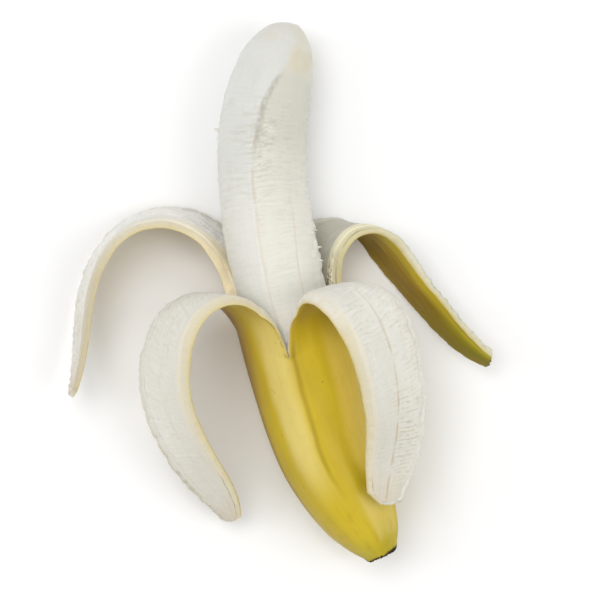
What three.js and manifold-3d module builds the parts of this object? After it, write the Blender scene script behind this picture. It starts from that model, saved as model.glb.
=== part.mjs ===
// A peeled banana lying on its back: the bare fruit, and the peel as one piece, a closed cup round the lower
// half that opens into four strips folded back. Millimetres, +Z up, the floor at Z = 0.
// The fruit's long way runs along +Y. Azimuth round the fruit is 0 at the top (+Z), 90 towards +X and 180 at the floor.
import * as THREE from "three";
import Module from "manifold-3d";

const wasm = await Module();
wasm.setup();

const DEG = Math.PI / 180;

// ---- the curved axis: arc length s from the blossom end, heading turned from +Y towards +X ----
const AXIS_START = [28.44, -88.29];
const AXIS_KNOT = 24;
const AXIS_HEADING_DEG = [-27.3, -31.9, -16.0, -15.4, -13.7, -9.6, -1.0, 11.7, 31.9];
const AXIS_LENGTH = 195;
const AXIS_HEIGHT = 18.4; // of the part in the peel
const TIP_DROOP = 2.9; // how much lower the fruit's tip lies
const DROOP_FROM = 95,
  DROOP_OVER = 90;

// ---- sizes across ----
const PEEL_END_S = -1.1; // of the blossom end's face
const PEEL_RADIUS = [
  [-1.1, 5.3], [1, 6.7], [4, 8.7], [8, 10.7], [14, 13.0], [21, 14.4], [30, 15.5],
  [42, 16.9], [60, 18.2], [80, 18.55], [112, 18.5],
]; // [s, radius]
const FRUIT_RADIUS = [
  [96, 15.3], [108, 15.5], [118, 15.6], [131, 15.1], [149, 15.4], [166, 14.9],
  [175, 13.9], [181, 12.8], [186, 10.9], [190, 8.6], [192.5, 5.8], [194, 3.1],
];
const FRUIT_TIP_S = 195;
const RIDGE_AZIMUTH = [-10, 80, 180, 267];
const RIDGE_RISE = 0.045,
  FLAT_SHARE = 0.965,
  RIDGE_WIDTH = 0.32; // rad
const PEEL_THICKNESS = 3.0,
  STRIP_END_THICKNESS = 2.0;
const FIT_GAP = 0.35; // between the fruit and the peel
const CUP_FLOOR_S = 12,
  FRUIT_FOOT_S = 14.5;
const TORN_BEVEL = 2.2; // how far the inner face stops short of the torn edge

// ---- the four strips: each lies between two tears, and curls with the curvatures given at even steps along it ----
// curl turns it outwards, bend turns it sideways, twist turns it about its own length (1/mm). hollow is the
// curvature across it (1/mm), width its share of the width it has at the root. Between turnsOver's two shares of
// the length the near torn edge turns over, so that its pith stands out past the skin, and nearTrim is how much
// narrower the near half is once past it. endCut is how much shorter the free end is at its two sides, as a share
// of the length.
const LEFT_TEAR = [-93, 90],
  FRONT_TEAR = [-10, 75],
  RIGHT_TEAR = [80, 82],
  BACK_TEAR = [180, 100]; // [azimuth, s of its lower end]
const STRIPS = [
  {
    name: "left_front", from: LEFT_TEAR, to: FRONT_TEAR, length: 119.6, columns: 6, shearEnds: [0.75, 1],
    curl: [0, 0.0767, 0.0864, 0.0556, 0.0281, 0.0168, 0.0093, 0.0106, 0.0149, 0.0004, -0.0287],
    bend: [0, -0.0078, 0.0005, 0.009, 0.0154, 0.0046, -0.0131, -0.0226],
    twist: [0, 0.0285, 0.0168, 0.0153, 0.0051, 0.0108, 0.0071, -0.0027],
    hollow: [-0.018, 0.0011, 0.0098, 0.0155, 0.0166, 0.0271, 0.0323],
    width: [1, 0.9725, 0.983, 0.9891, 0.9273, 0.8023, 0.5833, 0.2485],
  },
  {
    name: "right_front", from: FRONT_TEAR, to: RIGHT_TEAR, length: 107.3, columns: 6, shearEnds: [0.732, 0.976], endCut: [0.034, 0.02],
    curl: [0, 0.1091, 0.0906, 0.0697, 0.0394, 0.0091, 0.0046, 0.0061, -0.0029, -0.0274, -0.0447],
    bend: [0, 0.0114, 0.0061, -0.0015, -0.0067, -0.0146, -0.0063, -0.008],
    twist: [0, -0.0045, -0.0181, -0.0017, -0.0083, -0.0063, -0.0195, -0.0052],
    hollow: [-0.031, -0.0013, 0.0087, 0.0163, 0.0212, 0.0264, 0.0293],
    width: [1, 0.8248, 0.9771, 0.981, 0.9387, 0.8269, 0.6406, 0.3553],
  },
  {
    name: "right_back", from: RIGHT_TEAR, to: BACK_TEAR, length: 100.4, columns: 6, shearEnds: [0.0194, 0.3402], turnsOver: [0.29, 0.5], nearTrim: 0.3,
    curl: [0, 0.0299, 0.0335, 0.13, 0.0573, -0.0061, -0.001, 0.0053, -0.0062, -0.0162, -0.0287],
    bend: [0, -0.0627, 0.0154, -0.009, -0.0029, -0.0028, -0.0088, -0.0103],
    twist: [0, -0.0093, 0.0686, 0.0396, -0.0032, 0.0089, 0.0029, 0.0036, -0.0051],
    hollow: [0.0153, -0.0309, -0.0226, 0.0011, 0.0168, 0.0226, 0.0322],
    width: [1, 0.8958, 0.6905, 0.5572, 0.531, 0.4943, 0.3783, 0.2022],
  },
  {
    name: "left_back", from: BACK_TEAR, to: [LEFT_TEAR[0] + 360, LEFT_TEAR[1]], length: 123.6, columns: 6, shearEnds: [0.02, 0.35],
    curl: [0, 0.0213, 0.0074, 0.0397, 0.0479, 0.0381, 0.0189, 0.003, -0.0108, -0.0267],
    bend: [0, 0.0383, 0.0072, 0.0007, -0.0003, 0.0082, 0.0138, 0.0141],
    twist: [0, -0.0152, -0.0257, -0.0122, 0.005, 0.006, -0.0009, -0.0086],
    hollow: [-0.0074, 0.0298, 0.0131, 0.004, 0.0099, 0.0196, 0.0293],
    width: [1, 0.7467, 0.8085, 0.8814, 0.88, 0.7671, 0.5694, 0.3353],
  },
];

// ---- how finely the solids are faceted ----
const CUP_ROWS = 14,
  CUP_INNER_ROWS = 9,
  STRIP_ROWS = 34,
  FRUIT_ROWS = 34,
  FRUIT_SIDES = 26;

// ---------------------------------------------------------------- helpers
const vec = (x, y, z) => new THREE.Vector3(x, y, z);
const smooth = (t) => {
  const c = Math.min(1, Math.max(0, t));
  return c * c * (3 - 2 * c);
};
const mix = (a, b, t) => a + (b - a) * t;

function evenSteps(values, t) {
  // straight lines between values at even steps over 0..1
  const x = Math.min(1, Math.max(0, t)) * (values.length - 1);
  const i = Math.min(values.length - 2, Math.floor(x));
  return mix(values[i], values[i + 1], x - i);
}

function easedSteps(values, t) {
  // a smooth curve through values at even steps over 0..1
  const n = values.length;
  const x = Math.min(1, Math.max(0, t)) * (n - 1);
  const i = Math.min(n - 2, Math.floor(x)),
    f = x - i;
  const b = values[i],
    c = values[i + 1];
  const a = i > 0 ? values[i - 1] : 2 * b - c,
    d = i < n - 2 ? values[i + 2] : 2 * c - b;
  return b + 0.5 * f * (c - a + f * (2 * a - 5 * b + 4 * c - d + f * (3 * (b - c) + d - a)));
}

function table(rows, x) {
  // monotone smooth interpolation in a short table of [x, y]
  const n = rows.length;
  if (x <= rows[0][0]) return rows[0][1];
  if (x >= rows[n - 1][0]) return rows[n - 1][1];
  let i = 0;
  while (x > rows[i + 1][0]) i++;
  const slope = (k) => (rows[k + 1][1] - rows[k][1]) / (rows[k + 1][0] - rows[k][0]);
  const tangent = (k) => {
    if (k === 0) return slope(0);
    if (k === n - 1) return slope(n - 2);
    const a = slope(k - 1),
      b = slope(k);
    return a * b <= 0 ? 0 : (2 * a * b) / (a + b);
  };
  const h = rows[i + 1][0] - rows[i][0],
    f = (x - rows[i][0]) / h;
  const f2 = f * f,
    f3 = f2 * f;
  return (
    (2 * f3 - 3 * f2 + 1) * rows[i][1] +
    (f3 - 2 * f2 + f) * h * tangent(i) +
    (3 * f2 - 2 * f3) * rows[i + 1][1] +
    (f3 - f2) * h * tangent(i + 1)
  );
}

// ---------------------------------------------------------------- the axis
const heading = (s) => easedSteps(AXIS_HEADING_DEG, s / (AXIS_KNOT * (AXIS_HEADING_DEG.length - 1))) * DEG;
const axisHeight = (s) => AXIS_HEIGHT - TIP_DROOP * smooth((s - DROOP_FROM) / DROOP_OVER);
const axisXY = [AXIS_START];
for (let s = 0; s < AXIS_LENGTH + 2; s++) {
  const [x, y] = axisXY[s];
  axisXY.push([x + Math.sin(heading(s + 0.5)), y + Math.cos(heading(s + 0.5))]);
}

function axisFrame(s) {
  // centre, T along the fruit, A towards azimuth 0, B towards azimuth 90
  const k = Math.min(axisXY.length - 2, Math.max(0, Math.floor(s))),
    f = s - k;
  const h = heading(Math.max(0, s));
  const rise = axisHeight(s + 0.5) - axisHeight(s - 0.5);
  const T = vec(Math.sin(h), Math.cos(h), rise).normalize();
  const C = vec(
    mix(axisXY[k][0], axisXY[k + 1][0], f),
    mix(axisXY[k][1], axisXY[k + 1][1], f),
    axisHeight(s),
  );
  const A = vec(0, 0, 1).addScaledVector(T, -T.z).normalize();
  const B = new THREE.Vector3().crossVectors(T, A);
  return { C, T, A, B };
}

function roundness(phi) {
  // the soft ridges of the section
  let r = FLAT_SHARE;
  for (const a of RIDGE_AZIMUTH) {
    let d = (phi - a * DEG) % (2 * Math.PI);
    if (d > Math.PI) d -= 2 * Math.PI;
    if (d < -Math.PI) d += 2 * Math.PI;
    r += RIDGE_RISE * Math.exp(-((d / RIDGE_WIDTH) ** 2));
  }
  return r;
}

function aroundAxis(s, phi, radius) {
  const { C, A, B } = axisFrame(s);
  return C.addScaledVector(A, radius * Math.cos(phi)).addScaledVector(B, radius * Math.sin(phi));
}
const tube = (s, phi, inset = 0) =>
  aroundAxis(s, phi, table(PEEL_RADIUS, s) * roundness(phi) - inset);

function fruitRadius(s, phi) {
  const shape = roundness(phi);
  const inCup = table(PEEL_RADIUS, s) * shape - PEEL_THICKNESS - FIT_GAP;
  const free = table(FRUIT_RADIUS, s) * (1 + (shape - 0.98) * 0.6);
  return mix(inCup, free, smooth((s - 92) / 12));
}

function clearOfFruit(p) {
  // moves a point that would touch the fruit out to its surface and the gap
  let best = 60,
    near = Infinity;
  for (let s = 60; s <= 150; s += 0.5) {
    const k = Math.floor(s),
      f = s - k;
    const dx = p.x - mix(axisXY[k][0], axisXY[k + 1][0], f),
      dy = p.y - mix(axisXY[k][1], axisXY[k + 1][1], f);
    if (dx * dx + dy * dy < near) {
      near = dx * dx + dy * dy;
      best = s;
    }
  }
  const { C, A, B } = axisFrame(best);
  const d = p.clone().sub(C);
  const a = d.dot(A),
    b = d.dot(B),
    r = Math.hypot(a, b);
  const need = fruitRadius(best, Math.atan2(b, a)) + FIT_GAP;
  if (r < need) p.addScaledVector(A, (a / r) * (need - r)).addScaledVector(B, (b / r) * (need - r));
  return p;
}

// ---------------------------------------------------------------- one strip as a swept, curling sheet
function makeStrip(spec) {
  const phiA = spec.from[0] * DEG,
    phiB = spec.to[0] * DEG;
  const mid = (phiA + phiB) / 2,
    halfTurn = (phiB - phiA) / 2;
  const s0 = (spec.from[1] + spec.to[1]) / 2,
    shear = (spec.to[1] - spec.from[1]) / 2;
  const halfWidth = table(PEEL_RADIUS, s0) * halfTurn * 1.02;
  const origin = tube(s0, mid);
  const T = tube(s0 + 0.3, mid).sub(tube(s0 - 0.3, mid)).normalize();
  const W = tube(s0, mid + 0.01).sub(tube(s0, mid - 0.01));
  W.addScaledVector(T, -W.dot(T)).normalize();
  const N = new THREE.Vector3().crossVectors(W, T);

  // frames along the strip
  const STEPS = 220,
    step = spec.length / STEPS;
  const frames = [{ S: origin.clone(), T: T.clone(), W: W.clone(), N: N.clone() }];
  for (let i = 0; i < STEPS; i++) {
    const f = (i + 0.5) / STEPS,
      last = frames[i];
    const turn = new THREE.Vector3()
      .addScaledVector(last.T, -evenSteps(spec.twist, f))
      .addScaledVector(last.W, evenSteps(spec.curl, f))
      .addScaledVector(last.N, -evenSteps(spec.bend, f))
      .multiplyScalar(step);
    const angle = turn.length(),
      dir = angle > 1e-12 ? turn.clone().divideScalar(angle) : vec(1, 0, 0);
    const halfT = last.T.clone().applyAxisAngle(dir, angle / 2);
    frames.push({
      S: last.S.clone().addScaledVector(halfT, step),
      T: last.T.clone().applyAxisAngle(dir, angle),
      W: last.W.clone().applyAxisAngle(dir, angle),
      N: last.N.clone().applyAxisAngle(dir, angle),
    });
  }

  // a section in its own frame: across, outwards, along
  const rootSection = (v) => {
    const d = tube(s0 + v * shear, mid + v * halfTurn).sub(origin);
    return [d.dot(W), d.dot(N), d.dot(T)];
  };
  const section = (f, v) => {
    const k = evenSteps([1 / table(PEEL_RADIUS, s0), ...spec.hollow], f) || 1e-4;
    const safe = Math.abs(k) < 1e-4 ? 1e-4 : k;
    const trim = v < 0 ? 1 - (spec.nearTrim ?? 0) * smooth((f - 0.45) / 0.22) : 1;
    const a = halfWidth * easedSteps(spec.width, f) * v * trim;
    const [f1, f2] = spec.shearEnds;
    const keep = 1 - Math.min(1, Math.max(0, (f - f1) / (f2 - f1)));
    return [Math.sin(safe * a) / safe, -(1 - Math.cos(safe * a)) / safe, keep * shear * v];
  };

  // a point of the outer face, f = 0..1 along and v = -1..1 across
  function outer(f, v) {
    const x = Math.min(1, Math.max(0, f)) * STEPS,
      i = Math.min(STEPS - 1, Math.floor(x)),
      t = x - i;
    const p = frames[i],
      q = frames[i + 1];
    const c = section(f, v);
    const rest = 1 - smooth((f * spec.length) / 12);
    if (rest > 0) {
      const r = rootSection(v),
        z = section(0, v);
      for (let j = 0; j < 3; j++) c[j] += rest * (r[j] - z[j]);
    }
    return p.S.clone()
      .lerp(q.S, t)
      .addScaledVector(p.W.clone().lerp(q.W, t).normalize(), c[0])
      .addScaledVector(p.N.clone().lerp(q.N, t).normalize(), c[1])
      .addScaledVector(p.T.clone().lerp(q.T, t).normalize(), c[2]);
  }
  const width = (f) => halfWidth * easedSteps(spec.width, f);
  function outward(f, v) {
    const h = 1.2 / spec.length,
      w = 0.04;
    const along = outer(Math.min(1, f + h), v).sub(outer(Math.max(0, f - h), v));
    const across = outer(f, Math.min(1, v + w)).sub(outer(f, Math.max(-1, v - w)));
    return across.cross(along).normalize();
  }
  const thickness = (f) => mix(PEEL_THICKNESS, STRIP_END_THICKNESS, smooth((f - 0.25) / 0.75));
  // the inner face, narrower than the outer one by the torn bevel, or wider where the edge turns over
  function inner(f, v) {
    const [t0, t1] = spec.turnsOver ?? [2, 3];
    const side = v < 0 ? 1 - 2 * smooth((f - t0) / (t1 - t0)) : 1;
    const bevel = side * TORN_BEVEL * smooth((f * spec.length) / 10) * mix(1, 0.55, smooth((f - 0.5) / 0.5));
    const vi = v * (1 - bevel / width(f));
    return clearOfFruit(outer(f, vi).addScaledVector(outward(f, Math.max(-1, vi)), -thickness(f)));
  }
  return { outer, inner, outward, thickness, width };
}

// ---------------------------------------------------------------- meshes
class Skin {
  constructor() {
    this.points = [];
    this.faces = [];
  }
  add(p) {
    this.points.push(p.x, p.y, p.z);
    return this.points.length / 3 - 1;
  }
  quad(a, b, c, d) {
    this.faces.push(a, b, c, a, c, d);
  }
  tri(a, b, c) {
    this.faces.push(a, b, c);
  }
  geometry() {
    const g = new THREE.BufferGeometry();
    g.setAttribute("position", new THREE.BufferAttribute(new Float32Array(this.points), 3));
    g.setIndex(this.faces);
    return g;
  }
}

function peelSkin() {
  const skin = new Skin();
  // columns round the cup, with the s at which the cup ends in each
  const columns = [];
  for (const strip of STRIPS) {
    strip.first = columns.length;
    for (let k = 0; k < strip.columns; k++) {
      const t = k / strip.columns;
      columns.push({
        phi: mix(strip.from[0], strip.to[0], t) * DEG,
        rim: mix(strip.from[1], strip.to[1], t),
      });
    }
  }
  const n = columns.length;
  const outer = [],
    inner = [];
  for (let r = 0; r <= CUP_ROWS; r++) {
    const t = (r / CUP_ROWS) ** 1.35;
    outer.push(columns.map((c) => skin.add(tube(mix(PEEL_END_S, c.rim, t), c.phi))));
  }
  for (let r = 0; r <= CUP_INNER_ROWS; r++) {
    const t = r / CUP_INNER_ROWS;
    inner.push(columns.map((c) => skin.add(tube(mix(CUP_FLOOR_S, c.rim, t), c.phi, PEEL_THICKNESS))));
  }
  const base = skin.add(aroundAxis(PEEL_END_S - 0.6, 0, 0)),
    floor = skin.add(aroundAxis(CUP_FLOOR_S - 1.5, 0, 0));
  for (let c = 0; c < n; c++) {
    const d = (c + 1) % n;
    for (let r = 0; r < CUP_ROWS; r++)
      skin.quad(outer[r][c], outer[r][d], outer[r + 1][d], outer[r + 1][c]);
    for (let r = 0; r < CUP_INNER_ROWS; r++)
      skin.quad(inner[r][c], inner[r + 1][c], inner[r + 1][d], inner[r][d]);
    skin.tri(outer[0][d], outer[0][c], base);
    skin.tri(inner[0][c], inner[0][d], floor);
  }
  // the strips grow from the cup's last row
  for (const strip of STRIPS) {
    const shape = makeStrip(strip),
      m = strip.columns;
    let lastO = [],
      lastI = [];
    for (let k = 0; k <= m; k++) {
      const c = (strip.first + k) % n;
      lastO.push(outer[CUP_ROWS][c]);
      lastI.push(inner[CUP_INNER_ROWS][c]);
    }
    for (let i = 1; i <= STRIP_ROWS; i++) {
      const f = (i / STRIP_ROWS) ** 1.12;
      const O = [],
        I = [];
      for (let k = 0; k <= m; k++) {
        const v = (2 * k) / m - 1;
        // the end is rounded a little
        const [cutA, cutB] = strip.endCut ?? [0.012, 0.012];
        const g = f - smooth((f - 0.86) / 0.14) * (v < 0 ? cutA : cutB) * v * v;
        O.push(skin.add(shape.outer(g, v)));
        I.push(skin.add(shape.inner(i === STRIP_ROWS ? g - 0.006 : g, v)));
      }
      for (let k = 0; k < m; k++) {
        skin.quad(lastO[k], lastO[k + 1], O[k + 1], O[k]);
        skin.quad(lastI[k], I[k], I[k + 1], lastI[k + 1]);
      }
      skin.quad(O[m], lastO[m], lastI[m], I[m]);
      skin.quad(lastO[0], O[0], I[0], lastI[0]);
      lastO = O;
      lastI = I;
    }
    for (let k = 0; k < m; k++) skin.quad(lastO[k], lastO[k + 1], lastI[k + 1], lastI[k]);
  }
  return skin;
}

function fruitSkin() {
  const skin = new Skin();
  const rows = [];
  for (let r = 0; r <= FRUIT_ROWS; r++) {
    // rows close up towards the tip
    const t = r / FRUIT_ROWS;
    const s = mix(FRUIT_FOOT_S, FRUIT_RADIUS[FRUIT_RADIUS.length - 1][0], 1 - (1 - t) ** 1.5);
    const ring = [];
    for (let k = 0; k < FRUIT_SIDES; k++) {
      const phi = (k / FRUIT_SIDES) * 2 * Math.PI;
      const foot = 1 - 0.25 * (1 - smooth((s - FRUIT_FOOT_S) / 4));
      ring.push(skin.add(aroundAxis(s, phi, fruitRadius(s, phi) * foot)));
    }
    rows.push(ring);
  }
  const foot = skin.add(aroundAxis(FRUIT_FOOT_S - 0.8, 0, 0)),
    tip = skin.add(aroundAxis(FRUIT_TIP_S, 0, 0));
  for (let k = 0; k < FRUIT_SIDES; k++) {
    const j = (k + 1) % FRUIT_SIDES;
    for (let r = 0; r < FRUIT_ROWS; r++)
      skin.quad(rows[r][k], rows[r][j], rows[r + 1][j], rows[r + 1][k]);
    skin.tri(rows[0][j], rows[0][k], foot);
    skin.tri(rows[FRUIT_ROWS][k], rows[FRUIT_ROWS][j], tip);
  }
  return skin;
}

// ---------------------------------------------------------------- the floor's flats, cut with a box
function toSolid(geometry) {
  return new wasm.Manifold(
    new wasm.Mesh({
      numProp: 3,
      vertProperties: new Float32Array(geometry.getAttribute("position").array),
      triVerts: new Uint32Array(geometry.index.array),
    }),
  );
}
function fromSolid(solid) {
  const mesh = solid.getMesh(),
    n = mesh.numProp,
    p = new Float32Array(mesh.numVert * 3);
  for (let i = 0; i < mesh.numVert; i++) p.set(mesh.vertProperties.subarray(i * n, i * n + 3), i * 3);
  const g = new THREE.BufferGeometry();
  g.setAttribute("position", new THREE.BufferAttribute(p, 3));
  g.setIndex(new THREE.BufferAttribute(new Uint32Array(mesh.triVerts), 1));
  return g;
}
function boxBelowFloor() {
  const box = new THREE.BoxGeometry(400, 400, 60).translate(0, 0, -30);
  const corner = new Map(),
    points = [],
    faces = [];
  const pos = box.getAttribute("position");
  const id = (i) => {
    const key = [pos.getX(i), pos.getY(i), pos.getZ(i)].join();
    if (!corner.has(key)) {
      corner.set(key, points.length / 3);
      points.push(pos.getX(i), pos.getY(i), pos.getZ(i));
    }
    return corner.get(key);
  };
  for (const i of box.index.array) faces.push(id(i));
  const g = new THREE.BufferGeometry();
  g.setAttribute("position", new THREE.BufferAttribute(new Float32Array(points), 3));
  g.setIndex(faces);
  return g;
}

const peelGeometry = fromSolid(
  toSolid(peelSkin().geometry()).subtract(toSolid(boxBelowFloor())),
);
const fruitGeometry = fruitSkin().geometry();

// The origin is the middle of the whole's footprint, on the floor.
const whole = new THREE.Box3();
for (const g of [peelGeometry, fruitGeometry]) {
  g.computeBoundingBox();
  whole.union(g.boundingBox);
}
const middle = whole.getCenter(new THREE.Vector3());
for (const g of [peelGeometry, fruitGeometry]) {
  g.translate(-middle.x, -middle.y, 0);
  g.computeVertexNormals();
}

const peel = new THREE.Mesh(
  peelGeometry,
  new THREE.MeshStandardMaterial({ color: 0xd2b63c, roughness: 0.5, metalness: 0 }),
);
peel.name = "peel";
const flesh = new THREE.Mesh(
  fruitGeometry,
  new THREE.MeshStandardMaterial({ color: 0xece8da, roughness: 0.6, metalness: 0 }),
);
flesh.name = "flesh";

const banana = new THREE.Group();
banana.add(peel, flesh);
export default banana;
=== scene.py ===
"""A peeled banana lying on its back: the bare fruit, and the peel as one piece with four strips folded back.

The form is the CAD part's own, worked out again from the same sizes at a finer step, with the relief, the torn edges, the
fibres and the finish that the solids don't carry. Metres in the scene, millimetres in the form's functions.
"""
import math

import bmesh
import bpy
import numpy as np
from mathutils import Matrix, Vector


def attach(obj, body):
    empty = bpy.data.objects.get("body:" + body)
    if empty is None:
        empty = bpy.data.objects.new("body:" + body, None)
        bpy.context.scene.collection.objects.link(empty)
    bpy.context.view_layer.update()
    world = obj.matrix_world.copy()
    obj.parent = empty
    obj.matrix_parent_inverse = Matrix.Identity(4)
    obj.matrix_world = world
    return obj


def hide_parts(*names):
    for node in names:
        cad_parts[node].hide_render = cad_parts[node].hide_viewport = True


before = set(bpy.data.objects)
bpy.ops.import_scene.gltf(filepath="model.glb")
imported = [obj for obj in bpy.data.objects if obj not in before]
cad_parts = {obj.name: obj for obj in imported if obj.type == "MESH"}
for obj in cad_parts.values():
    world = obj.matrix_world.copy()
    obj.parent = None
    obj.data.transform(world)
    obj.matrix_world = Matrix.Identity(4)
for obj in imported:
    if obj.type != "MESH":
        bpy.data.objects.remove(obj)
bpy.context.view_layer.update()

rng = np.random.default_rng(20)
MIDDLE = np.array([-6.953983, 2.890095, 0.0])  # the row frame's origin, in the form's own millimetres

# ------------------------------------------------------------------ the banana's form, in millimetres
DEG = math.pi / 180

# the curved axis: arc length s from the blossom end, heading turned from +Y towards +X
AXIS_START = (28.44, -88.29)
AXIS_KNOT = 24.0
AXIS_HEADING_DEG = [-27.3, -31.9, -16.0, -15.4, -13.7, -9.6, -1.0, 11.7, 31.9]
AXIS_LENGTH = 195
AXIS_HEIGHT, TIP_DROOP, DROOP_FROM, DROOP_OVER = 18.4, 2.9, 95.0, 90.0

PEEL_RADIUS = [(-1.1, 5.3), (1, 6.7), (4, 8.7), (8, 10.7), (14, 13.0), (21, 14.4), (30, 15.5), (42, 16.9), (60, 18.2), (80, 18.55), (112, 18.5)]
FRUIT_RADIUS = [(96, 15.3), (108, 15.5), (118, 15.6), (131, 15.1), (149, 15.4), (166, 14.9), (175, 13.9), (181, 12.8), (186, 10.9), (190, 8.6),
                (192.5, 5.8), (194, 3.1)]
FRUIT_TIP_S = 195
RIDGE_AZIMUTH = [-10, 80, 180, 267]
RIDGE_RISE, FLAT_SHARE, RIDGE_WIDTH = 0.045, 0.965, 0.32
PEEL_END_S = -1.1
PEEL_THICKNESS, STRIP_END_THICKNESS = 3.0, 2.0
FIT_GAP = 0.35
CUP_FLOOR_S, FRUIT_FOOT_S = 12.0, 14.5
TORN_BEVEL = 2.2

LEFT_TEAR, FRONT_TEAR, RIGHT_TEAR, BACK_TEAR = (-93, 90), (-10, 75), (80, 82), (180, 100)
STRIPS = [
    dict(name="left_front", a=LEFT_TEAR, b=FRONT_TEAR, length=119.6, shear_ends=(0.75, 1),
         curl=[0, 0.0767, 0.0864, 0.0556, 0.0281, 0.0168, 0.0093, 0.0106, 0.0149, 0.0004, -0.0287],
         bend=[0, -0.0078, 0.0005, 0.009, 0.0154, 0.0046, -0.0131, -0.0226],
         twist=[0, 0.0285, 0.0168, 0.0153, 0.0051, 0.0108, 0.0071, -0.0027],
         hollow=[-0.018, 0.0011, 0.0098, 0.0155, 0.0166, 0.0271, 0.0323],
         width=[1, 0.9725, 0.983, 0.9891, 0.9273, 0.8023, 0.5833, 0.2485]),
    dict(name="right_front", a=FRONT_TEAR, b=RIGHT_TEAR, length=107.3, shear_ends=(0.732, 0.976), end_cut=(0.034, 0.02),
         curl=[0, 0.1091, 0.0906, 0.0697, 0.0394, 0.0091, 0.0046, 0.0061, -0.0029, -0.0274, -0.0447],
         bend=[0, 0.0114, 0.0061, -0.0015, -0.0067, -0.0146, -0.0063, -0.008],
         twist=[0, -0.0045, -0.0181, -0.0017, -0.0083, -0.0063, -0.0195, -0.0052],
         hollow=[-0.031, -0.0013, 0.0087, 0.0163, 0.0212, 0.0264, 0.0293],
         width=[1, 0.8248, 0.9771, 0.981, 0.9387, 0.8269, 0.6406, 0.3553]),
    dict(name="right_back", a=RIGHT_TEAR, b=BACK_TEAR, length=100.4, shear_ends=(0.0194, 0.3402), turns_over=(0.29, 0.5), near_trim=0.3,
         curl=[0, 0.0299, 0.0335, 0.13, 0.0573, -0.0061, -0.001, 0.0053, -0.0062, -0.0162, -0.0287],
         bend=[0, -0.0627, 0.0154, -0.009, -0.0029, -0.0028, -0.0088, -0.0103],
         twist=[0, -0.0093, 0.0686, 0.0396, -0.0032, 0.0089, 0.0029, 0.0036, -0.0051],
         hollow=[0.0153, -0.0309, -0.0226, 0.0011, 0.0168, 0.0226, 0.0322],
         width=[1, 0.8958, 0.6905, 0.5572, 0.531, 0.4943, 0.3783, 0.2022]),
    dict(name="left_back", a=BACK_TEAR, b=(LEFT_TEAR[0] + 360, LEFT_TEAR[1]), length=123.6, shear_ends=(0.02, 0.35),
         curl=[0, 0.0213, 0.0074, 0.0397, 0.0479, 0.0381, 0.0189, 0.003, -0.0108, -0.0267],
         bend=[0, 0.0383, 0.0072, 0.0007, -0.0003, 0.0082, 0.0138, 0.0141],
         twist=[0, -0.0152, -0.0257, -0.0122, 0.005, 0.006, -0.0009, -0.0086],
         hollow=[-0.0074, 0.0298, 0.0131, 0.004, 0.0099, 0.0196, 0.0293],
         width=[1, 0.7467, 0.8085, 0.8814, 0.88, 0.7671, 0.5694, 0.3353]),
]


def smooth(t):
    t = np.clip(t, 0, 1)
    return t * t * (3 - 2 * t)


def even_steps(values, t):
    return np.interp(t, np.linspace(0, 1, len(values)), values)


def eased_steps(values, t):
    k = np.asarray(values, float)
    ke = np.r_[2 * k[0] - k[1], k, 2 * k[-1] - k[-2]]
    x = np.clip(t, 0, 1) * (len(k) - 1)
    i = np.minimum(x.astype(int), len(k) - 2)
    f = x - i
    a, b, c, d = ke[i], ke[i + 1], ke[i + 2], ke[i + 3]
    return b + 0.5 * f * (c - a + f * (2 * a - 5 * b + 4 * c - d + f * (3 * (b - c) + d - a)))


def table(rows, x):
    r = np.asarray(rows, float)
    h = np.diff(r[:, 0])
    sl = np.diff(r[:, 1]) / h
    prod = sl[:-1] * sl[1:]
    safe = np.where(np.abs(sl[:-1] + sl[1:]) < 1e-12, 1, sl[:-1] + sl[1:])
    m = np.r_[sl[0], np.where(prod <= 0, 0, 2 * prod / safe), sl[-1]]
    x = np.clip(x, r[0, 0], r[-1, 0])
    i = np.clip(np.searchsorted(r[:, 0], x, side="right") - 1, 0, len(r) - 2)
    f = (x - r[i, 0]) / h[i]
    f2, f3 = f * f, f * f * f
    return (2 * f3 - 3 * f2 + 1) * r[i, 1] + (f3 - 2 * f2 + f) * h[i] * m[i] + (3 * f2 - 2 * f3) * r[i + 1, 1] + (f3 - f2) * h[i] * m[i + 1]


def heading(s):
    return eased_steps(AXIS_HEADING_DEG, np.asarray(s, float) / (AXIS_KNOT * (len(AXIS_HEADING_DEG) - 1))) * DEG


def axis_height(s):
    return AXIS_HEIGHT - TIP_DROOP * smooth((s - DROOP_FROM) / DROOP_OVER)


_s = np.arange(0, AXIS_LENGTH + 2) + 0.5
AXIS_X = np.r_[AXIS_START[0], AXIS_START[0] + np.cumsum(np.sin(heading(_s)))]
AXIS_Y = np.r_[AXIS_START[1], AXIS_START[1] + np.cumsum(np.cos(heading(_s)))]


def axis_frame(s):
    s = np.asarray(s, float)
    k = np.clip(np.floor(s).astype(int), 0, len(AXIS_X) - 2)
    f = s - k
    h = heading(np.maximum(0, s))
    rise = axis_height(s + 0.5) - axis_height(s - 0.5)
    T = np.stack([np.sin(h), np.cos(h), rise], -1)
    T /= np.linalg.norm(T, axis=-1, keepdims=True)
    C = np.stack([AXIS_X[k] + (AXIS_X[k + 1] - AXIS_X[k]) * f, AXIS_Y[k] + (AXIS_Y[k + 1] - AXIS_Y[k]) * f, axis_height(s)], -1)
    A = np.array([0, 0, 1.0]) - T * T[..., 2:3]
    A /= np.linalg.norm(A, axis=-1, keepdims=True)
    return C, T, A, np.cross(T, A)


def roundness(phi):
    r = FLAT_SHARE
    for a in RIDGE_AZIMUTH:
        d = (phi - a * DEG + np.pi) % (2 * np.pi) - np.pi
        r = r + RIDGE_RISE * np.exp(-((d / RIDGE_WIDTH) ** 2))
    return r


def around_axis(s, phi, radius):
    C, T, A, B = axis_frame(s)
    return C + A * (radius * np.cos(phi))[..., None] + B * (radius * np.sin(phi))[..., None]


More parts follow.
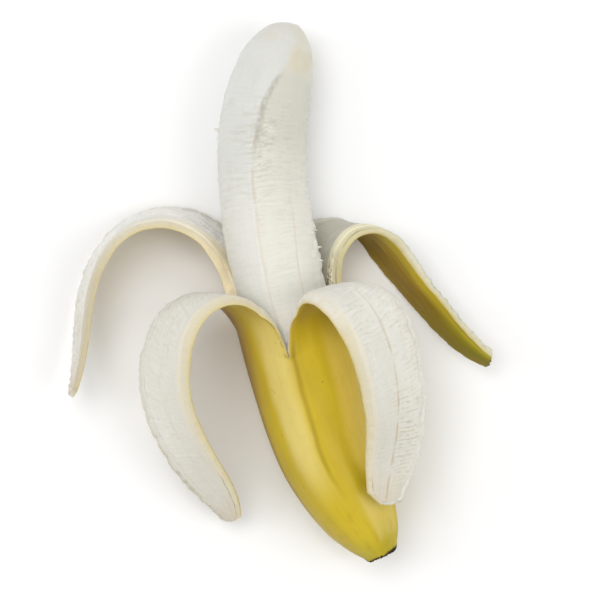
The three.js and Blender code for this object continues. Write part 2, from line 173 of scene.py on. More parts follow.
def tube(s, phi, inset=0.0):
    s, phi = np.broadcast_arrays(np.asarray(s, float), np.asarray(phi, float))
    return around_axis(s, phi, table(PEEL_RADIUS, s) * roundness(phi) - inset)


def fruit_radius(s, phi):
    shape = roundness(phi)
    in_cup = table(PEEL_RADIUS, s) * shape - PEEL_THICKNESS - FIT_GAP
    free = table(FRUIT_RADIUS, s) * (1 + (shape - 0.98) * 0.6)
    return in_cup + (free - in_cup) * smooth((s - 92) / 12)


def clear_of_fruit(P, gap=FIT_GAP):
    """moves points that would touch the fruit out to its surface and the gap"""
    q = P.reshape(-1, 3).copy()
    ss = np.arange(60, 150.01, 0.5)
    C, T, A, B = axis_frame(ss)
    best = np.empty(len(q), int)
    for i in range(0, len(q), 20000):
        d = (q[i:i + 20000, None, :2] - C[None, :, :2]) ** 2
        best[i:i + 20000] = d.sum(-1).argmin(1)
    d = q - C[best]
    a = (d * A[best]).sum(-1)
    b = (d * B[best]).sum(-1)
    r = np.hypot(a, b)
    need = fruit_radius(ss[best], np.arctan2(b, a)) + gap
    push = np.maximum(need - r, 0) / np.maximum(r, 1e-6)
    q += A[best] * (a * push)[:, None] + B[best] * (b * push)[:, None]
    return q.reshape(P.shape)


def turn(v, w):
    """turns the vectors v about w, by w's length"""
    ang = np.linalg.norm(w)
    if ang < 1e-12:
        return v
    k = w / ang
    return v * np.cos(ang) + np.cross(k, v) * np.sin(ang) + np.outer(v @ k, k) * (1 - np.cos(ang))


class Strip:
    STEPS = 220

    def __init__(self, spec):
        self.spec = spec
        pa, pb = spec["a"][0] * DEG, spec["b"][0] * DEG
        self.mid, self.half = (pa + pb) / 2, (pb - pa) / 2
        self.s0, self.shear = (spec["a"][1] + spec["b"][1]) / 2, (spec["b"][1] - spec["a"][1]) / 2
        self.length = spec["length"]
        self.half_width = float(table(PEEL_RADIUS, self.s0)) * self.half * 1.02
        self.origin = tube(self.s0, self.mid)
        T = tube(self.s0 + 0.3, self.mid) - tube(self.s0 - 0.3, self.mid)
        T /= np.linalg.norm(T)
        W = tube(self.s0, self.mid + 0.01) - tube(self.s0, self.mid - 0.01)
        W -= T * (W @ T)
        W /= np.linalg.norm(W)
        N = np.cross(W, T)
        F = np.stack([T, W, N])
        S = self.origin.copy()
        step = self.length / self.STEPS
        self.F, self.S = [F], [S]
        for i in range(self.STEPS):
            f = (i + 0.5) / self.STEPS
            w = (-even_steps(spec["twist"], f) * F[0] + even_steps(spec["curl"], f) * F[1] - even_steps(spec["bend"], f) * F[2]) * step
            S = S + turn(F, w * 0.5)[0] * step
            F = turn(F, w)
            self.F.append(F)
            self.S.append(S)
        self.F, self.S = np.array(self.F), np.array(self.S)
        self.F0 = np.stack([T, W, N])

    def section(self, f, v):
        k = even_steps(np.r_[1 / float(table(PEEL_RADIUS, self.s0)), self.spec["hollow"]], f)
        k = np.where(np.abs(k) < 1e-4, 1e-4, k)
        trim = np.where(v < 0, 1 - self.spec.get("near_trim", 0) * smooth((f - 0.45) / 0.22), 1)
        a = self.half_width * eased_steps(self.spec["width"], f) * v * trim
        f1, f2 = self.spec["shear_ends"]
        keep = 1 - np.clip((f - f1) / (f2 - f1), 0, 1)
        return np.stack([np.sin(k * a) / k, -(1 - np.cos(k * a)) / k, keep * self.shear * v], -1)

    def outer(self, f, v):
        f, v = np.broadcast_arrays(np.asarray(f, float), np.asarray(v, float))
        x = np.clip(f, 0, 1) * self.STEPS
        i = np.minimum(x.astype(int), self.STEPS - 1)
        t = (x - i)[..., None]
        c = self.section(f, v)
        rest = 1 - smooth(f * self.length / 12)
        d = tube(self.s0 + v * self.shear, self.mid + v * self.half) - self.origin
        root = np.stack([d @ self.F0[1], d @ self.F0[2], d @ self.F0[0]], -1)
        c = c + rest[..., None] * (root - self.section(np.zeros_like(f), v))
        S = self.S[i] * (1 - t) + self.S[i + 1] * t
        F = self.F[i] * (1 - t[..., None]) + self.F[i + 1] * t[..., None]
        F /= np.linalg.norm(F, axis=-1, keepdims=True)
        return S + F[..., 1, :] * c[..., 0:1] + F[..., 2, :] * c[..., 1:2] + F[..., 0, :] * c[..., 2:3]

    def width(self, f):
        return self.half_width * eased_steps(self.spec["width"], np.asarray(f, float))

    def outward(self, f, v):
        h, w = 1.2 / self.length, 0.04
        along = self.outer(np.minimum(1, f + h), v) - self.outer(np.maximum(0, f - h), v)
        across = self.outer(f, np.minimum(1, v + w)) - self.outer(f, np.maximum(-1, v - w))
        n = np.cross(across, along)
        return n / np.linalg.norm(n, axis=-1, keepdims=True)

    def thickness(self, f):
        return PEEL_THICKNESS + (STRIP_END_THICKNESS - PEEL_THICKNESS) * smooth((f - 0.25) / 0.75)

    def bevel(self, f, v):
        t0, t1 = self.spec.get("turns_over", (2, 3))
        side = np.where(v < 0, 1 - 2 * smooth((f - t0) / (t1 - t0)), 1)
        return side * TORN_BEVEL * smooth(f * self.length / 10) * (1 + (0.55 - 1) * smooth((f - 0.5) / 0.5))

    def inner(self, f, v):
        f, v = np.broadcast_arrays(np.asarray(f, float), np.asarray(v, float))
        vi = v * (1 - self.bevel(f, v) / self.width(f))
        return clear_of_fruit(self.outer(f, vi) - self.outward(f, np.clip(vi, -1, 1)) * self.thickness(f)[..., None])


# ------------------------------------------------------------------ noise, for relief
def lattice(i, j, k, seed):
    h = (i.astype(np.uint32) * np.uint32(374761393)) ^ (j.astype(np.uint32) * np.uint32(668265263))
    h ^= (k.astype(np.uint32) * np.uint32(2246822519)) ^ np.uint32((seed * 3266489917) & 0xFFFFFFFF)
    h = (h ^ (h >> np.uint32(15))) * np.uint32(2654435761)
    h = (h ^ (h >> np.uint32(13))) * np.uint32(3266489917)
    return (h ^ (h >> np.uint32(16))).astype(np.float64) / 2**31 - 1


def lumps(P, scale=(1, 1, 1), seed=1, octaves=1):
    """smooth random lumps, about -1..1, one lump to a unit of P * scale"""
    out, size, total = 0.0, 1.0, 0.0
    for o in range(octaves):
        q = P * np.asarray(scale, float) / size + 17.3 * o + 500
        i = np.floor(q)
        f = q - i
        u = f * f * f * (f * (f * 6 - 15) + 10)
        i = i.astype(np.int64)
        acc = 0.0
        for a in (0, 1):
            for b in (0, 1):
                for c in (0, 1):
                    w = (u[:, 0] if a else 1 - u[:, 0]) * (u[:, 1] if b else 1 - u[:, 1]) * (u[:, 2] if c else 1 - u[:, 2])
                    acc = acc + w * lattice(i[:, 0] + a, i[:, 1] + b, i[:, 2] + c, seed + 31 * o)
        out = out + acc * size
        total += size
        size *= 0.5
    return out / total * 1.5


def bump_at(x, centre, width):
    return np.exp(-(((x - centre) / width) ** 2))


# ------------------------------------------------------------------ meshes from arrays
def to_scene(P):
    return (np.asarray(P, float) - MIDDLE) / 1000


def corner_normals(P, quads, tris):
    """a normal for each vertex, pointing out"""
    n = np.zeros_like(P)
    q = quads
    fn = np.cross(P[q[:, 2]] - P[q[:, 0]], P[q[:, 3]] - P[q[:, 1]])
    for k in range(4):
        np.add.at(n, q[:, k], fn)
    if len(tris):
        t = tris
        fn = np.cross(P[t[:, 1]] - P[t[:, 0]], P[t[:, 2]] - P[t[:, 0]])
        for k in range(3):
            np.add.at(n, t[:, k], fn)
    return n / np.maximum(np.linalg.norm(n, axis=1, keepdims=True), 1e-12)


def make_mesh(name, P, quads, tris, quad_slots=None, tri_slots=None, **attributes):
    """an object of quads and triangles, with its points in the form's millimetres"""
    quads, tris = np.asarray(quads, np.int64).reshape(-1, 4), np.asarray(tris, np.int64).reshape(-1, 3)
    me = bpy.data.meshes.new(name)
    me.vertices.add(len(P))
    me.vertices.foreach_set("co", to_scene(P).astype(np.float32).ravel())
    loops = np.r_[quads.ravel(), tris.ravel()]
    me.loops.add(len(loops))
    me.loops.foreach_set("vertex_index", loops.astype(np.int32))
    sizes = np.r_[np.full(len(quads), 4), np.full(len(tris), 3)]
    starts = np.r_[0, np.cumsum(sizes)[:-1]]
    me.polygons.add(len(sizes))
    me.polygons.foreach_set("loop_start", starts.astype(np.int32))
    slots = np.r_[np.zeros(len(quads)) if quad_slots is None else quad_slots, np.zeros(len(tris)) if tri_slots is None else tri_slots]
    me.polygons.foreach_set("material_index", slots.astype(np.int32))
    me.polygons.foreach_set("use_smooth", np.ones(len(sizes), bool))
    for key, values in attributes.items():
        values = np.asarray(values, np.float32)
        kind, field = ("FLOAT_VECTOR", "vector") if values.ndim == 2 else ("FLOAT", "value")
        a = me.attributes.new(key, kind, "POINT")
        a.data.foreach_set(field, values.ravel())
    me.update(calc_edges=True)
    me.validate()
    ob = bpy.data.objects.new(name, me)
    bpy.context.scene.collection.objects.link(ob)
    return ob


class Points:
    """the vertices of one mesh as they are added, with what the materials and the relief read at each"""

    KEYS = ("rest", "depth", "edge", "end", "across", "cream")

    def __init__(self):
        self.P, self.n = [], 0
        self.data = {k: [] for k in self.KEYS}

    def add(self, P, **values):
        P = np.asarray(P, float)
        ids = self.n + np.arange(P[..., 0].size).reshape(P.shape[:-1])
        self.n += ids.size
        self.P.append(P.reshape(-1, 3))
        for k in self.KEYS:
            v = np.asarray(values[k], float)
            shape = P.shape if k == "rest" else P.shape[:-1]
            v = np.broadcast_to(v, shape)
            self.data[k].append(v.reshape(-1, 3) if k == "rest" else v.reshape(-1))
        return ids

    def done(self):
        return np.concatenate(self.P), {k: np.concatenate(v) for k, v in self.data.items()}


def quads_of(grid, flip=False):
    a, b, c, d = grid[:-1, :-1], grid[:-1, 1:], grid[1:, 1:], grid[1:, :-1]
    q = np.stack([a, d, c, b] if flip else [a, b, c, d], -1)
    return q.reshape(-1, 4)


# ------------------------------------------------------------------ the peel
FINE = dict(across=42, rows=150, wall=5, cup=104, cup_inner=34, rings=9)
# how creamy and even each strip's torn edges are, at its a and its b side: 1 cream and smooth, 0 white and frilled
EDGE_CREAM = dict(left_front=(0.05, 1.0), right_front=(1.0, 0.0), right_back=(1.0, 0.1), left_back=(0.0, 0.95))
SKIN, PITH, SCAR = 0, 1, 2
NO_EDGE = 40.0


def rest_point(s, phi):
    """where a point of the peel sat before it was peeled: round the fruit, and along it"""
    s, phi = np.broadcast_arrays(np.asarray(s, float), np.asarray(phi, float))
    return np.stack([18.5 * np.cos(phi), 18.5 * np.sin(phi), s], -1)


def spread(m):
    u = np.linspace(-1, 1, m + 1)
    return u * (1.15 - 0.15 * u * u)


def torn(f, length, side, seed, cream):
    """how far the pith at a torn edge stands in or out, in mm"""
    x = f * length
    P = np.stack([x, side * 3.0 + 0 * x, 0 * x], -1).reshape(-1, 3)
    big = lumps(P, (0.16, 1, 1), seed).reshape(x.shape)
    small = lumps(P, (0.45, 1, 1), seed + 1, 2).reshape(x.shape)
    frill = lumps(P, (0.95, 1, 1), seed + 3).reshape(x.shape)
    return smooth((x - 1) / 8) * (0.22 * big + (0.70 - 0.45 * cream) * small + 0.35 * (1 - cream) * frill)


def build_peel():
    pts, quads, slots, tris, tri_slots = Points(), [], [], [], []

    def keep(q, slot):
        quads.append(q)
        slots.append(np.full(len(q), slot))

    strips = [Strip(s) for s in STRIPS]
    m = FINE["across"]
    v = spread(m)
    phi, rim = [], []
    for st in strips:
        phi.append((st.mid + v * st.half)[:-1])
        rim.append((st.s0 + v * st.shear)[:-1])
    phi, rim = np.concatenate(phi), np.concatenate(rim)
    n = len(phi)
    wrap = np.r_[np.arange(n), 0]

    # the cup outside: rows from the blossom end to the tears
    t = np.linspace(0, 1, FINE["cup"] + 1)[:, None] ** 1.14
    s = PEEL_END_S + (rim[None] - PEEL_END_S) * t
    outer = pts.add(tube(s, phi[None]), rest=rest_point(s, phi[None]), depth=0, edge=NO_EDGE, end=NO_EDGE, across=0, cream=0)
    keep(quads_of(outer[:, wrap]), SKIN)
    # the blunt end: a raised, crumbled rim round the dished scar of the flower
    rings = []
    for j in range(1, FINE["rings"]):
        q = 1 - j / FINE["rings"]
        dish = -0.15 - 0.9 * smooth((1 - q) / 0.25) + 1.5 * smooth((0.62 - q) / 0.5)
        ring_s = np.full(n, PEEL_END_S - 0.55 * smooth((1 - q) / 0.12) - 0.25 * dish)
        rings.append(pts.add(around_axis(ring_s, phi, PEEL_RADIUS[0][1] * roundness(phi) * q),
                             rest=rest_point(-5.4 * (1 - q), phi), depth=0, edge=NO_EDGE, end=NO_EDGE, across=0, cream=0))
    rings = np.array([outer[0]] + rings)
    keep(quads_of(rings[:, wrap], flip=True), SCAR)
    base = pts.add(around_axis(np.array([PEEL_END_S - 0.9]), np.array([0.0]), np.array([0.0])), rest=rest_point([-5.4], [0]), depth=0, edge=NO_EDGE, end=NO_EDGE, across=0, cream=0)
    last = rings[-1]
    tris.append(np.stack([last[wrap[1:]], last, np.full(n, base[0])], -1))
    tri_slots.append(np.full(n, SCAR))

    # the cup inside
    t = (1 - (1 - np.linspace(0, 1, FINE["cup_inner"] + 1)) ** 1.7)[:, None]
    s = CUP_FLOOR_S + (rim[None] - CUP_FLOOR_S) * t
    inner = pts.add(tube(s, phi[None], PEEL_THICKNESS), rest=rest_point(s, phi[None]), depth=1, edge=NO_EDGE, end=NO_EDGE, across=0, cream=0.3)
    keep(quads_of(inner[:, wrap], flip=True), PITH)
    floor = pts.add(around_axis(np.array([CUP_FLOOR_S - 1.5]), np.array([0.0]), np.array([0.0])), rest=rest_point([CUP_FLOOR_S], [0]), depth=1,
                    edge=NO_EDGE, end=NO_EDGE, across=0, cream=0.3)
    tris.append(np.stack([inner[0], inner[0][wrap[1:]], np.full(n, floor[0])], -1))
    tri_slots.append(np.full(n, PITH))

    # the notch at the foot of each tear, shared by the strips on its two sides
    K = FINE["wall"]
    w = np.arange(1, K + 1) / (K + 1)
    top_o, top_i = tube(rim, phi), tube(rim, phi, PEEL_THICKNESS)
    notch = {}
    for j in range(len(strips)):
        c = j * m
        P = top_o[c] + (top_i[c] - top_o[c]) * w[:, None]
        notch[j] = pts.add(P, rest=rest_point(rim[c], phi[c]) + np.zeros((K, 3)), depth=w, edge=0, end=NO_EDGE, across=0, cream=0.6)

    R = FINE["rows"]
    for j, st in enumerate(strips):
        f0 = (np.arange(1, R + 1) / R) ** 1.12
        F, V = np.meshgrid(f0, v, indexing="ij")
        seed = 40 + 7 * j
        # the free end is torn unevenly
        P1 = np.stack([V[0] * 4, np.full_like(V[0], j * 5.0), np.zeros_like(V[0])], -1)
        cut_a, cut_b = st.spec.get("end_cut", (0.012, 0.012))
        ragged = np.where(V[0] < 0, cut_a, cut_b) * V[0] ** 2 + (0.3 + 0.35 * lumps(P1, (1, 1, 1), seed + 5, 2)) * 0.9 / st.length
        F = F - ragged[None] * smooth((F - 0.86) / 0.14)
        width = st.width(F)
        cream_a, cream_b = EDGE_CREAM[st.spec["name"]]
        cream = cream_a + (cream_b - cream_a) * smooth((V + 0.4) / 0.8)
        if st.spec["name"] == "left_front":
            cream = cream * (1 - 0.55 * smooth((0.20 - F) / 0.14) * (V > 0))
        if st.spec["name"] == "right_front":
            cream = cream * (1 - 0.75 * smooth((0.42 - F) / 0.14) * (V < 0))
        if "turns_over" in st.spec:
            cream = cream * (1 - 0.75 * smooth((F - 0.28) / 0.25) * (V < 0))
        lean = np.abs(V) ** 6 * np.sign(V)
        skin_v = V + lean * 0.3 * torn(F, st.length, np.sign(V), seed, cream) / width
        pith_v = V + lean * torn(F, st.length, np.sign(V), seed + 2, cream) / width
        rest = rest_point(st.s0 + V * st.shear + F * st.length, st.mid + V * st.half)
        edge, end = (1 - np.abs(V)) * width, (1 - F) * st.length
        O = pts.add(st.outer(F, np.clip(skin_v, -1.04, 1.04)), rest=rest, depth=0, edge=edge, end=end, across=V * width, cream=cream)
        I = pts.add(st.inner(np.maximum(F - 0.6 / st.length * smooth((F - 0.9) / 0.1), 0), pith_v), rest=rest, depth=1, edge=edge, end=end, across=V * width, cream=cream)
        cols = (j * m + np.arange(m + 1)) % n
        O, I = np.vstack([outer[-1][cols][None], O]), np.vstack([inner[-1][cols][None], I])
        keep(quads_of(O), SKIN)
        keep(quads_of(I, flip=True), PITH)
        allP = np.concatenate(pts.P)
        walls = {}
        for side, col in ((1, m), (-1, 0)):
            a, b = allP[O[1:, col]], allP[I[1:, col]]
            P = a[:, None] + (b - a)[:, None] * w[None, :, None]
            # the tear is a little full between skin and pith
            out = (allP[O[1:, col]] - allP[O[1:, col - side]])
            out /= np.linalg.norm(out, axis=1, keepdims=True)
            grow = smooth(f0 * st.length / 10)[:, None] * np.sin(np.pi * w)[None] * (0.30 + 0.12 * np.sin(np.pi * 2 * w))[None]
            P = P + out[:, None] * grow[..., None]
            r = rest[:, col][:, None] + np.zeros((1, K, 1))
            ids = pts.add(P, rest=r, depth=w[None] + np.zeros((R, 1)), edge=0, end=end[:, col][:, None], across=side * width[:, col][:, None],
                          cream=cream[:, col][:, None])
            walls[side] = np.vstack([notch[(j + 1) % 4 if side > 0 else j][None], ids])
            seq = np.hstack([O[:, col][:, None], walls[side], I[:, col][:, None]])
            keep(quads_of(seq, flip=side < 0), PITH)
        a, b = allP[O[-1, 1:-1]], allP[I[-1, 1:-1]]
        P = a[:, None] + (b - a)[:, None] * w[None, :, None]
        mid = pts.add(P, rest=rest[-1, 1:-1][:, None] + np.zeros((1, K, 1)), depth=w[None] + np.zeros((m - 1, 1)), edge=0, end=0,
                      across=(V * width)[-1, 1:-1][:, None], cream=cream[-1, 1:-1][:, None])
        E = np.vstack([walls[-1][-1][None], mid, walls[1][-1][None]])
        seq = np.hstack([O[-1][:, None], E, I[-1][:, None]])
        keep(quads_of(seq, flip=True), PITH)
    P, data = pts.done()
    return P, np.concatenate(quads), np.concatenate(slots), np.concatenate(tris), np.concatenate(tri_slots), data


def peel_relief(P, quads, tris, data):
    N = corner_normals(P, quads, tris)
    rest, depth, edge, end = data["rest"], data["depth"], data["edge"], data["end"]
    s = rest[:, 2]
    azimuth = np.degrees(np.arctan2(rest[:, 1], rest[:, 0]))
    azimuth = np.where(azimuth < LEFT_TEAR[0] - 0.01, azimuth + 360, azimuth)
    tears = np.array([LEFT_TEAR, FRONT_TEAR, RIGHT_TEAR, BACK_TEAR, (LEFT_TEAR[0] + 360, LEFT_TEAR[1])], float)
    free = smooth((s - np.interp(azimuth, tears[:, 0], tears[:, 1])) / 9)  # 0 in the cup, 1 on a strip
    skin, pith = depth < 0.01, depth > 0.99
    h = np.zeros(len(P))
    # skin: broad facets, faint veins along it, and the crumbled blossom end
    a = 0.14 * lumps(rest, (0.075, 0.075, 0.03), 3, 2) + 0.012 * lumps(rest, (0.4, 0.4, 0.04), 4)
    a += 0.28 * lumps(rest, (0.9, 0.9, 1.3), 5, 2) * smooth((1.4 - s) / 2.2)
    h = np.where(skin, a, h)
    # pith: strands along it, creases across it, and soft swells
    strands = 0.055 * lumps(rest, (0.85, 0.85, 0.06), 6) + 0.035 * lumps(rest, (1.3, 1.3, 0.11), 7)
    creased = smooth(0.6 + lumps(rest, (0.05, 0.05, 0.03), 8))
    creases = (0.07 * lumps(rest, (0.10, 0.10, 0.50), 9) + 0.035 * lumps(rest, (0.25, 0.25, 0.9), 10)) * creased
    a = (strands + creases + 0.15 * lumps(rest, (0.12, 0.12, 0.07), 11, 2)) * (0.25 + 0.75 * free)
    # and it rounds over towards a torn edge or the free end
    rounding = (0.34 + 0.23 * smooth(end / 60)) * free
    a -= rounding * np.clip((2.4 - np.minimum(edge, end)) / 2.4, 0, 1) ** 2
    # ragged on the far side of the back left strip
    far = smooth((236 - azimuth) / 10) * smooth((azimuth - 181) / 3) * free
    a += far * (0.20 * lumps(rest, (0.45, 0.45, 0.40), 13) + 0.65 * np.maximum(0, lumps(rest, (0.9, 0.9, 0.8), 14, 2)))
    h = np.where(pith, a, h)
    # torn edges: coarse and fibrous towards the pith
    Q = np.stack([s, depth * 2.4, np.sign(data["across"]) * 5], -1)
    a = 0.24 * lumps(Q, (0.75, 1, 1), 12, 2) * smooth(depth / 0.5) - rounding * np.clip((depth - 0.36) / 0.64, 0, 1) ** 2
    h = np.where(skin | pith, h, a)
    P = P + N * h[:, None]
    on_strip = (edge < NO_EDGE) & ~skin
    P[on_strip] = clear_of_fruit(P[on_strip], 0.12)
    return P, N


def cut_at_floor(ob, slot):
    """takes off what lies below the floor and closes the cut, so that the peel rests on flats"""
    bm = bmesh.new()
    bm.from_mesh(ob.data)
    geom = bm.verts[:] + bm.edges[:] + bm.faces[:]
    bmesh.ops.bisect_plane(bm, geom=geom, dist=1e-7, plane_co=(0, 0, 0), plane_no=(0, 0, 1), clear_inner=True)
    open_edges = [e for e in bm.edges if e.is_boundary]
    made = bmesh.ops.holes_fill(bm, edges=open_edges, sides=0)["faces"]
    for f in made:
        f.material_index = slot
        f.smooth = False
    bmesh.ops.triangulate(bm, faces=made)
    bm.to_mesh(ob.data)
    bm.free()
    ob.data.update()


# ------------------------------------------------------------------ the fruit
FRUIT = dict(hidden=14, rows=322, around=248)
# azimuths of the seams between the fruit's segments, at [s, degrees]
SEAM_A = [(60, -17), (98, -16), (113, -14), (125, -12.5), (137, -13), (147, -11), (154, -7.5), (163, -5), (168, 0), (174, 7), (184, 20)]
SEAM_B = [(60, 28), (104, 30), (112, 33), (125, 38), (140, 40), (165, 44), (184, 50)]
BACK_SEAMS = [100, 152, 203, 262]


def seam_distance(s, phi, rows, radius):
    r = np.asarray(rows, float)
    d = phi - np.interp(s, r[:, 0], r[:, 1]) * DEG
    return ((d + np.pi) % (2 * np.pi) - np.pi) * radius


def build_fruit():
    hidden = np.linspace(FRUIT_FOOT_S, 68, FRUIT["hidden"], endpoint=False)
    t = np.linspace(0, 1, FRUIT["rows"] + 1)
    s = np.r_[hidden, 68 + (194 - 68) * (1 - (1 - t) ** 1.22)]
    n = FRUIT["around"]
    phi = np.arange(n) / n * 2 * np.pi
    S, PHI = np.meshgrid(s, phi, indexing="ij")
    radius = fruit_radius(S, PHI) * (1 - 0.25 * (1 - smooth((S - FRUIT_FOOT_S) / 4)))
    P = around_axis(S, PHI, radius).reshape(-1, 3)
    grid = np.arange(len(P)).reshape(S.shape)
    wrap = np.r_[np.arange(n), 0]
    foot = around_axis(np.array([FRUIT_FOOT_S - 0.8]), np.array([0.0]), np.array([0.0]))
    tip = around_axis(np.array([FRUIT_TIP_S]), np.array([0.0]), np.array([0.0]))
    P = np.vstack([P, foot, tip])
    quads = quads_of(grid[:, wrap])
    first, last = grid[0], grid[-1]
    tris = np.vstack([np.stack([first[wrap[1:]], first, np.full(n, len(P) - 2)], -1),
                      np.stack([last, last[wrap[1:]], np.full(n, len(P) - 1)], -1)])
    s, phi = np.r_[S.ravel(), FRUIT_FOOT_S, FRUIT_TIP_S], np.r_[PHI.ravel(), 0, 0]
    r = np.r_[radius.ravel(), 0.2, 0.2]
    N = corner_normals(P, quads, tris)
    rest = np.stack([15.3 * np.cos(phi), 15.3 * np.sin(phi), s], -1)
    # near the tip the rest points close up with the fruit, so that nothing streaks
    close = np.minimum(1, r / 15.3)
    rest[:, :2] *= close[:, None]
    shown = smooth((s - 74) / 10)
    along = smooth((186 - s) / 14)
    a, b = seam_distance(s, phi, SEAM_A, r), seam_distance(s, phi, SEAM_B, r)
    back = np.min([np.abs(seam_distance(s, phi, [(60, x), (190, x)], r)) for x in BACK_SEAMS], axis=0)
    side = (phi + np.pi) % (2 * np.pi) - np.pi  # -pi..pi from the top
    h = 0.22 * lumps(rest, (0.07, 0.07, 0.04), 21, 2)
    ribbed = smooth(0.55 + 0.9 * lumps(rest, (0.06, 0.06, 0.045), 22)) * (0.55 + 0.45 * smooth((side / DEG + 20) / 30))
    h += along * ribbed * (0.08 * lumps(rest, (0.11, 0.11, 0.52), 23) + 0.06 * lumps(rest, (0.18, 0.18, 1.05), 24))
    h += 0.035 * lumps(rest, (1.0, 1.0, 0.06), 25) * along
    uneven = 0.65 + 0.35 * lumps(rest, (0.02, 0.02, 0.16), 26)
    fade_a = smooth((183 - s) / 8)
    h -= 0.24 * bump_at(a, 0, 0.55) * uneven * fade_a
    h += 0.10 * (bump_at(a, -1.4, 0.8) + bump_at(a, 1.6, 0.8)) * uneven * fade_a
    # towards the tip the left segment stands over the right one
    h += 0.34 * smooth((0.8 - a) / 1.8) * smooth((a + 9) / 8) * smooth((s - 150) / 8) * smooth((182 - s) / 10)
    fade_b = smooth((150 - s) / 20)
    h -= 0.20 * bump_at(b, 0, 0.45) * uneven * fade_b
    h -= 0.16 * bump_at(back, 0, 0.5) * uneven * along
    fuzz = smooth((np.abs(side) / DEG - 55) / 20)
    shaggy = fuzz * (0.45 + 0.55 * (side > 0))
    h += along * shaggy * (0.34 * lumps(rest, (0.30, 0.30, 0.36), 27, 2) + 0.50 * np.maximum(0, lumps(rest, (0.5, 0.5, 0.6), 28, 2)))
    P = P + N * (h * shown)[:, None]
    P[:, 2] = np.maximum(P[:, 2], 0.05)
    return P, quads, tris, dict(rest=rest, seam_a=a, seam_b=b, seam_back=back), N


# ------------------------------------------------------------------ fibres
def fibres(name, base, lean, length, radius, seed, STEPS=4, SIDES=3):
    """short tapering hairs, each bent a little, as one mesh"""
    g = np.random.default_rng(seed)
    n = len(base)
    lean = lean / np.linalg.norm(lean, axis=1, keepdims=True)
    curve = np.cross(lean, g.normal(size=(n, 3)))
    curve /= np.maximum(np.linalg.norm(curve, axis=1, keepdims=True), 1e-9)
    across = np.cross(lean, curve)
    rows = []
    for i in range(STEPS):
        t = i / STEPS
        c = base + lean * (length * (t - 0.12))[:, None] + curve * (length * 0.45 * t * t * g.uniform(0.2, 1, n))[:, None]
        r = radius * (1 - 0.75 * t)
        ring = [c + (curve * math.cos(k * 2 * math.pi / SIDES) + across * math.sin(k * 2 * math.pi / SIDES)) * r[:, None] for k in range(SIDES)]
        rows.append(np.stack(ring, 1))
    tip = base + lean * length[:, None] + curve * (length * 0.35)[:, None]
    P = np.concatenate([np.stack(rows, 1).reshape(n, -1, 3), tip[:, None]], 1)
    per = STEPS * SIDES + 1
    quads, tris = [], []
    for i in range(STEPS - 1):
        for k in range(SIDES):
            j = (k + 1) % SIDES
            quads.append([i * SIDES + k, i * SIDES + j, (i + 1) * SIDES + j, (i + 1) * SIDES + k])
    for k in range(SIDES):
        j = (k + 1) % SIDES
        tris.append([(STEPS - 1) * SIDES + k, (STEPS - 1) * SIDES + j, per - 1])
    tris += [[0, k + 1, k] for k in range(1, SIDES - 1)]
    off = (np.arange(n) * per)[:, None, None]
    quads = (np.array(quads)[None] + off).reshape(-1, 4)
    tris = (np.array(tris)[None] + off).reshape(-1, 3)
    P = P.reshape(-1, 3)
    P[:, 2] = np.maximum(P[:, 2], 0.02)
    return make_mesh(name, P, quads, tris, rest=np.repeat(base, per, 0))


# ------------------------------------------------------------------ materials
def srgb(r, g, b):
    return tuple(((c / 255) / 12.92 if c <= 10 else ((c / 255 + 0.055) / 1.055) ** 2.4) for c in (r, g, b)) + (1.0,)


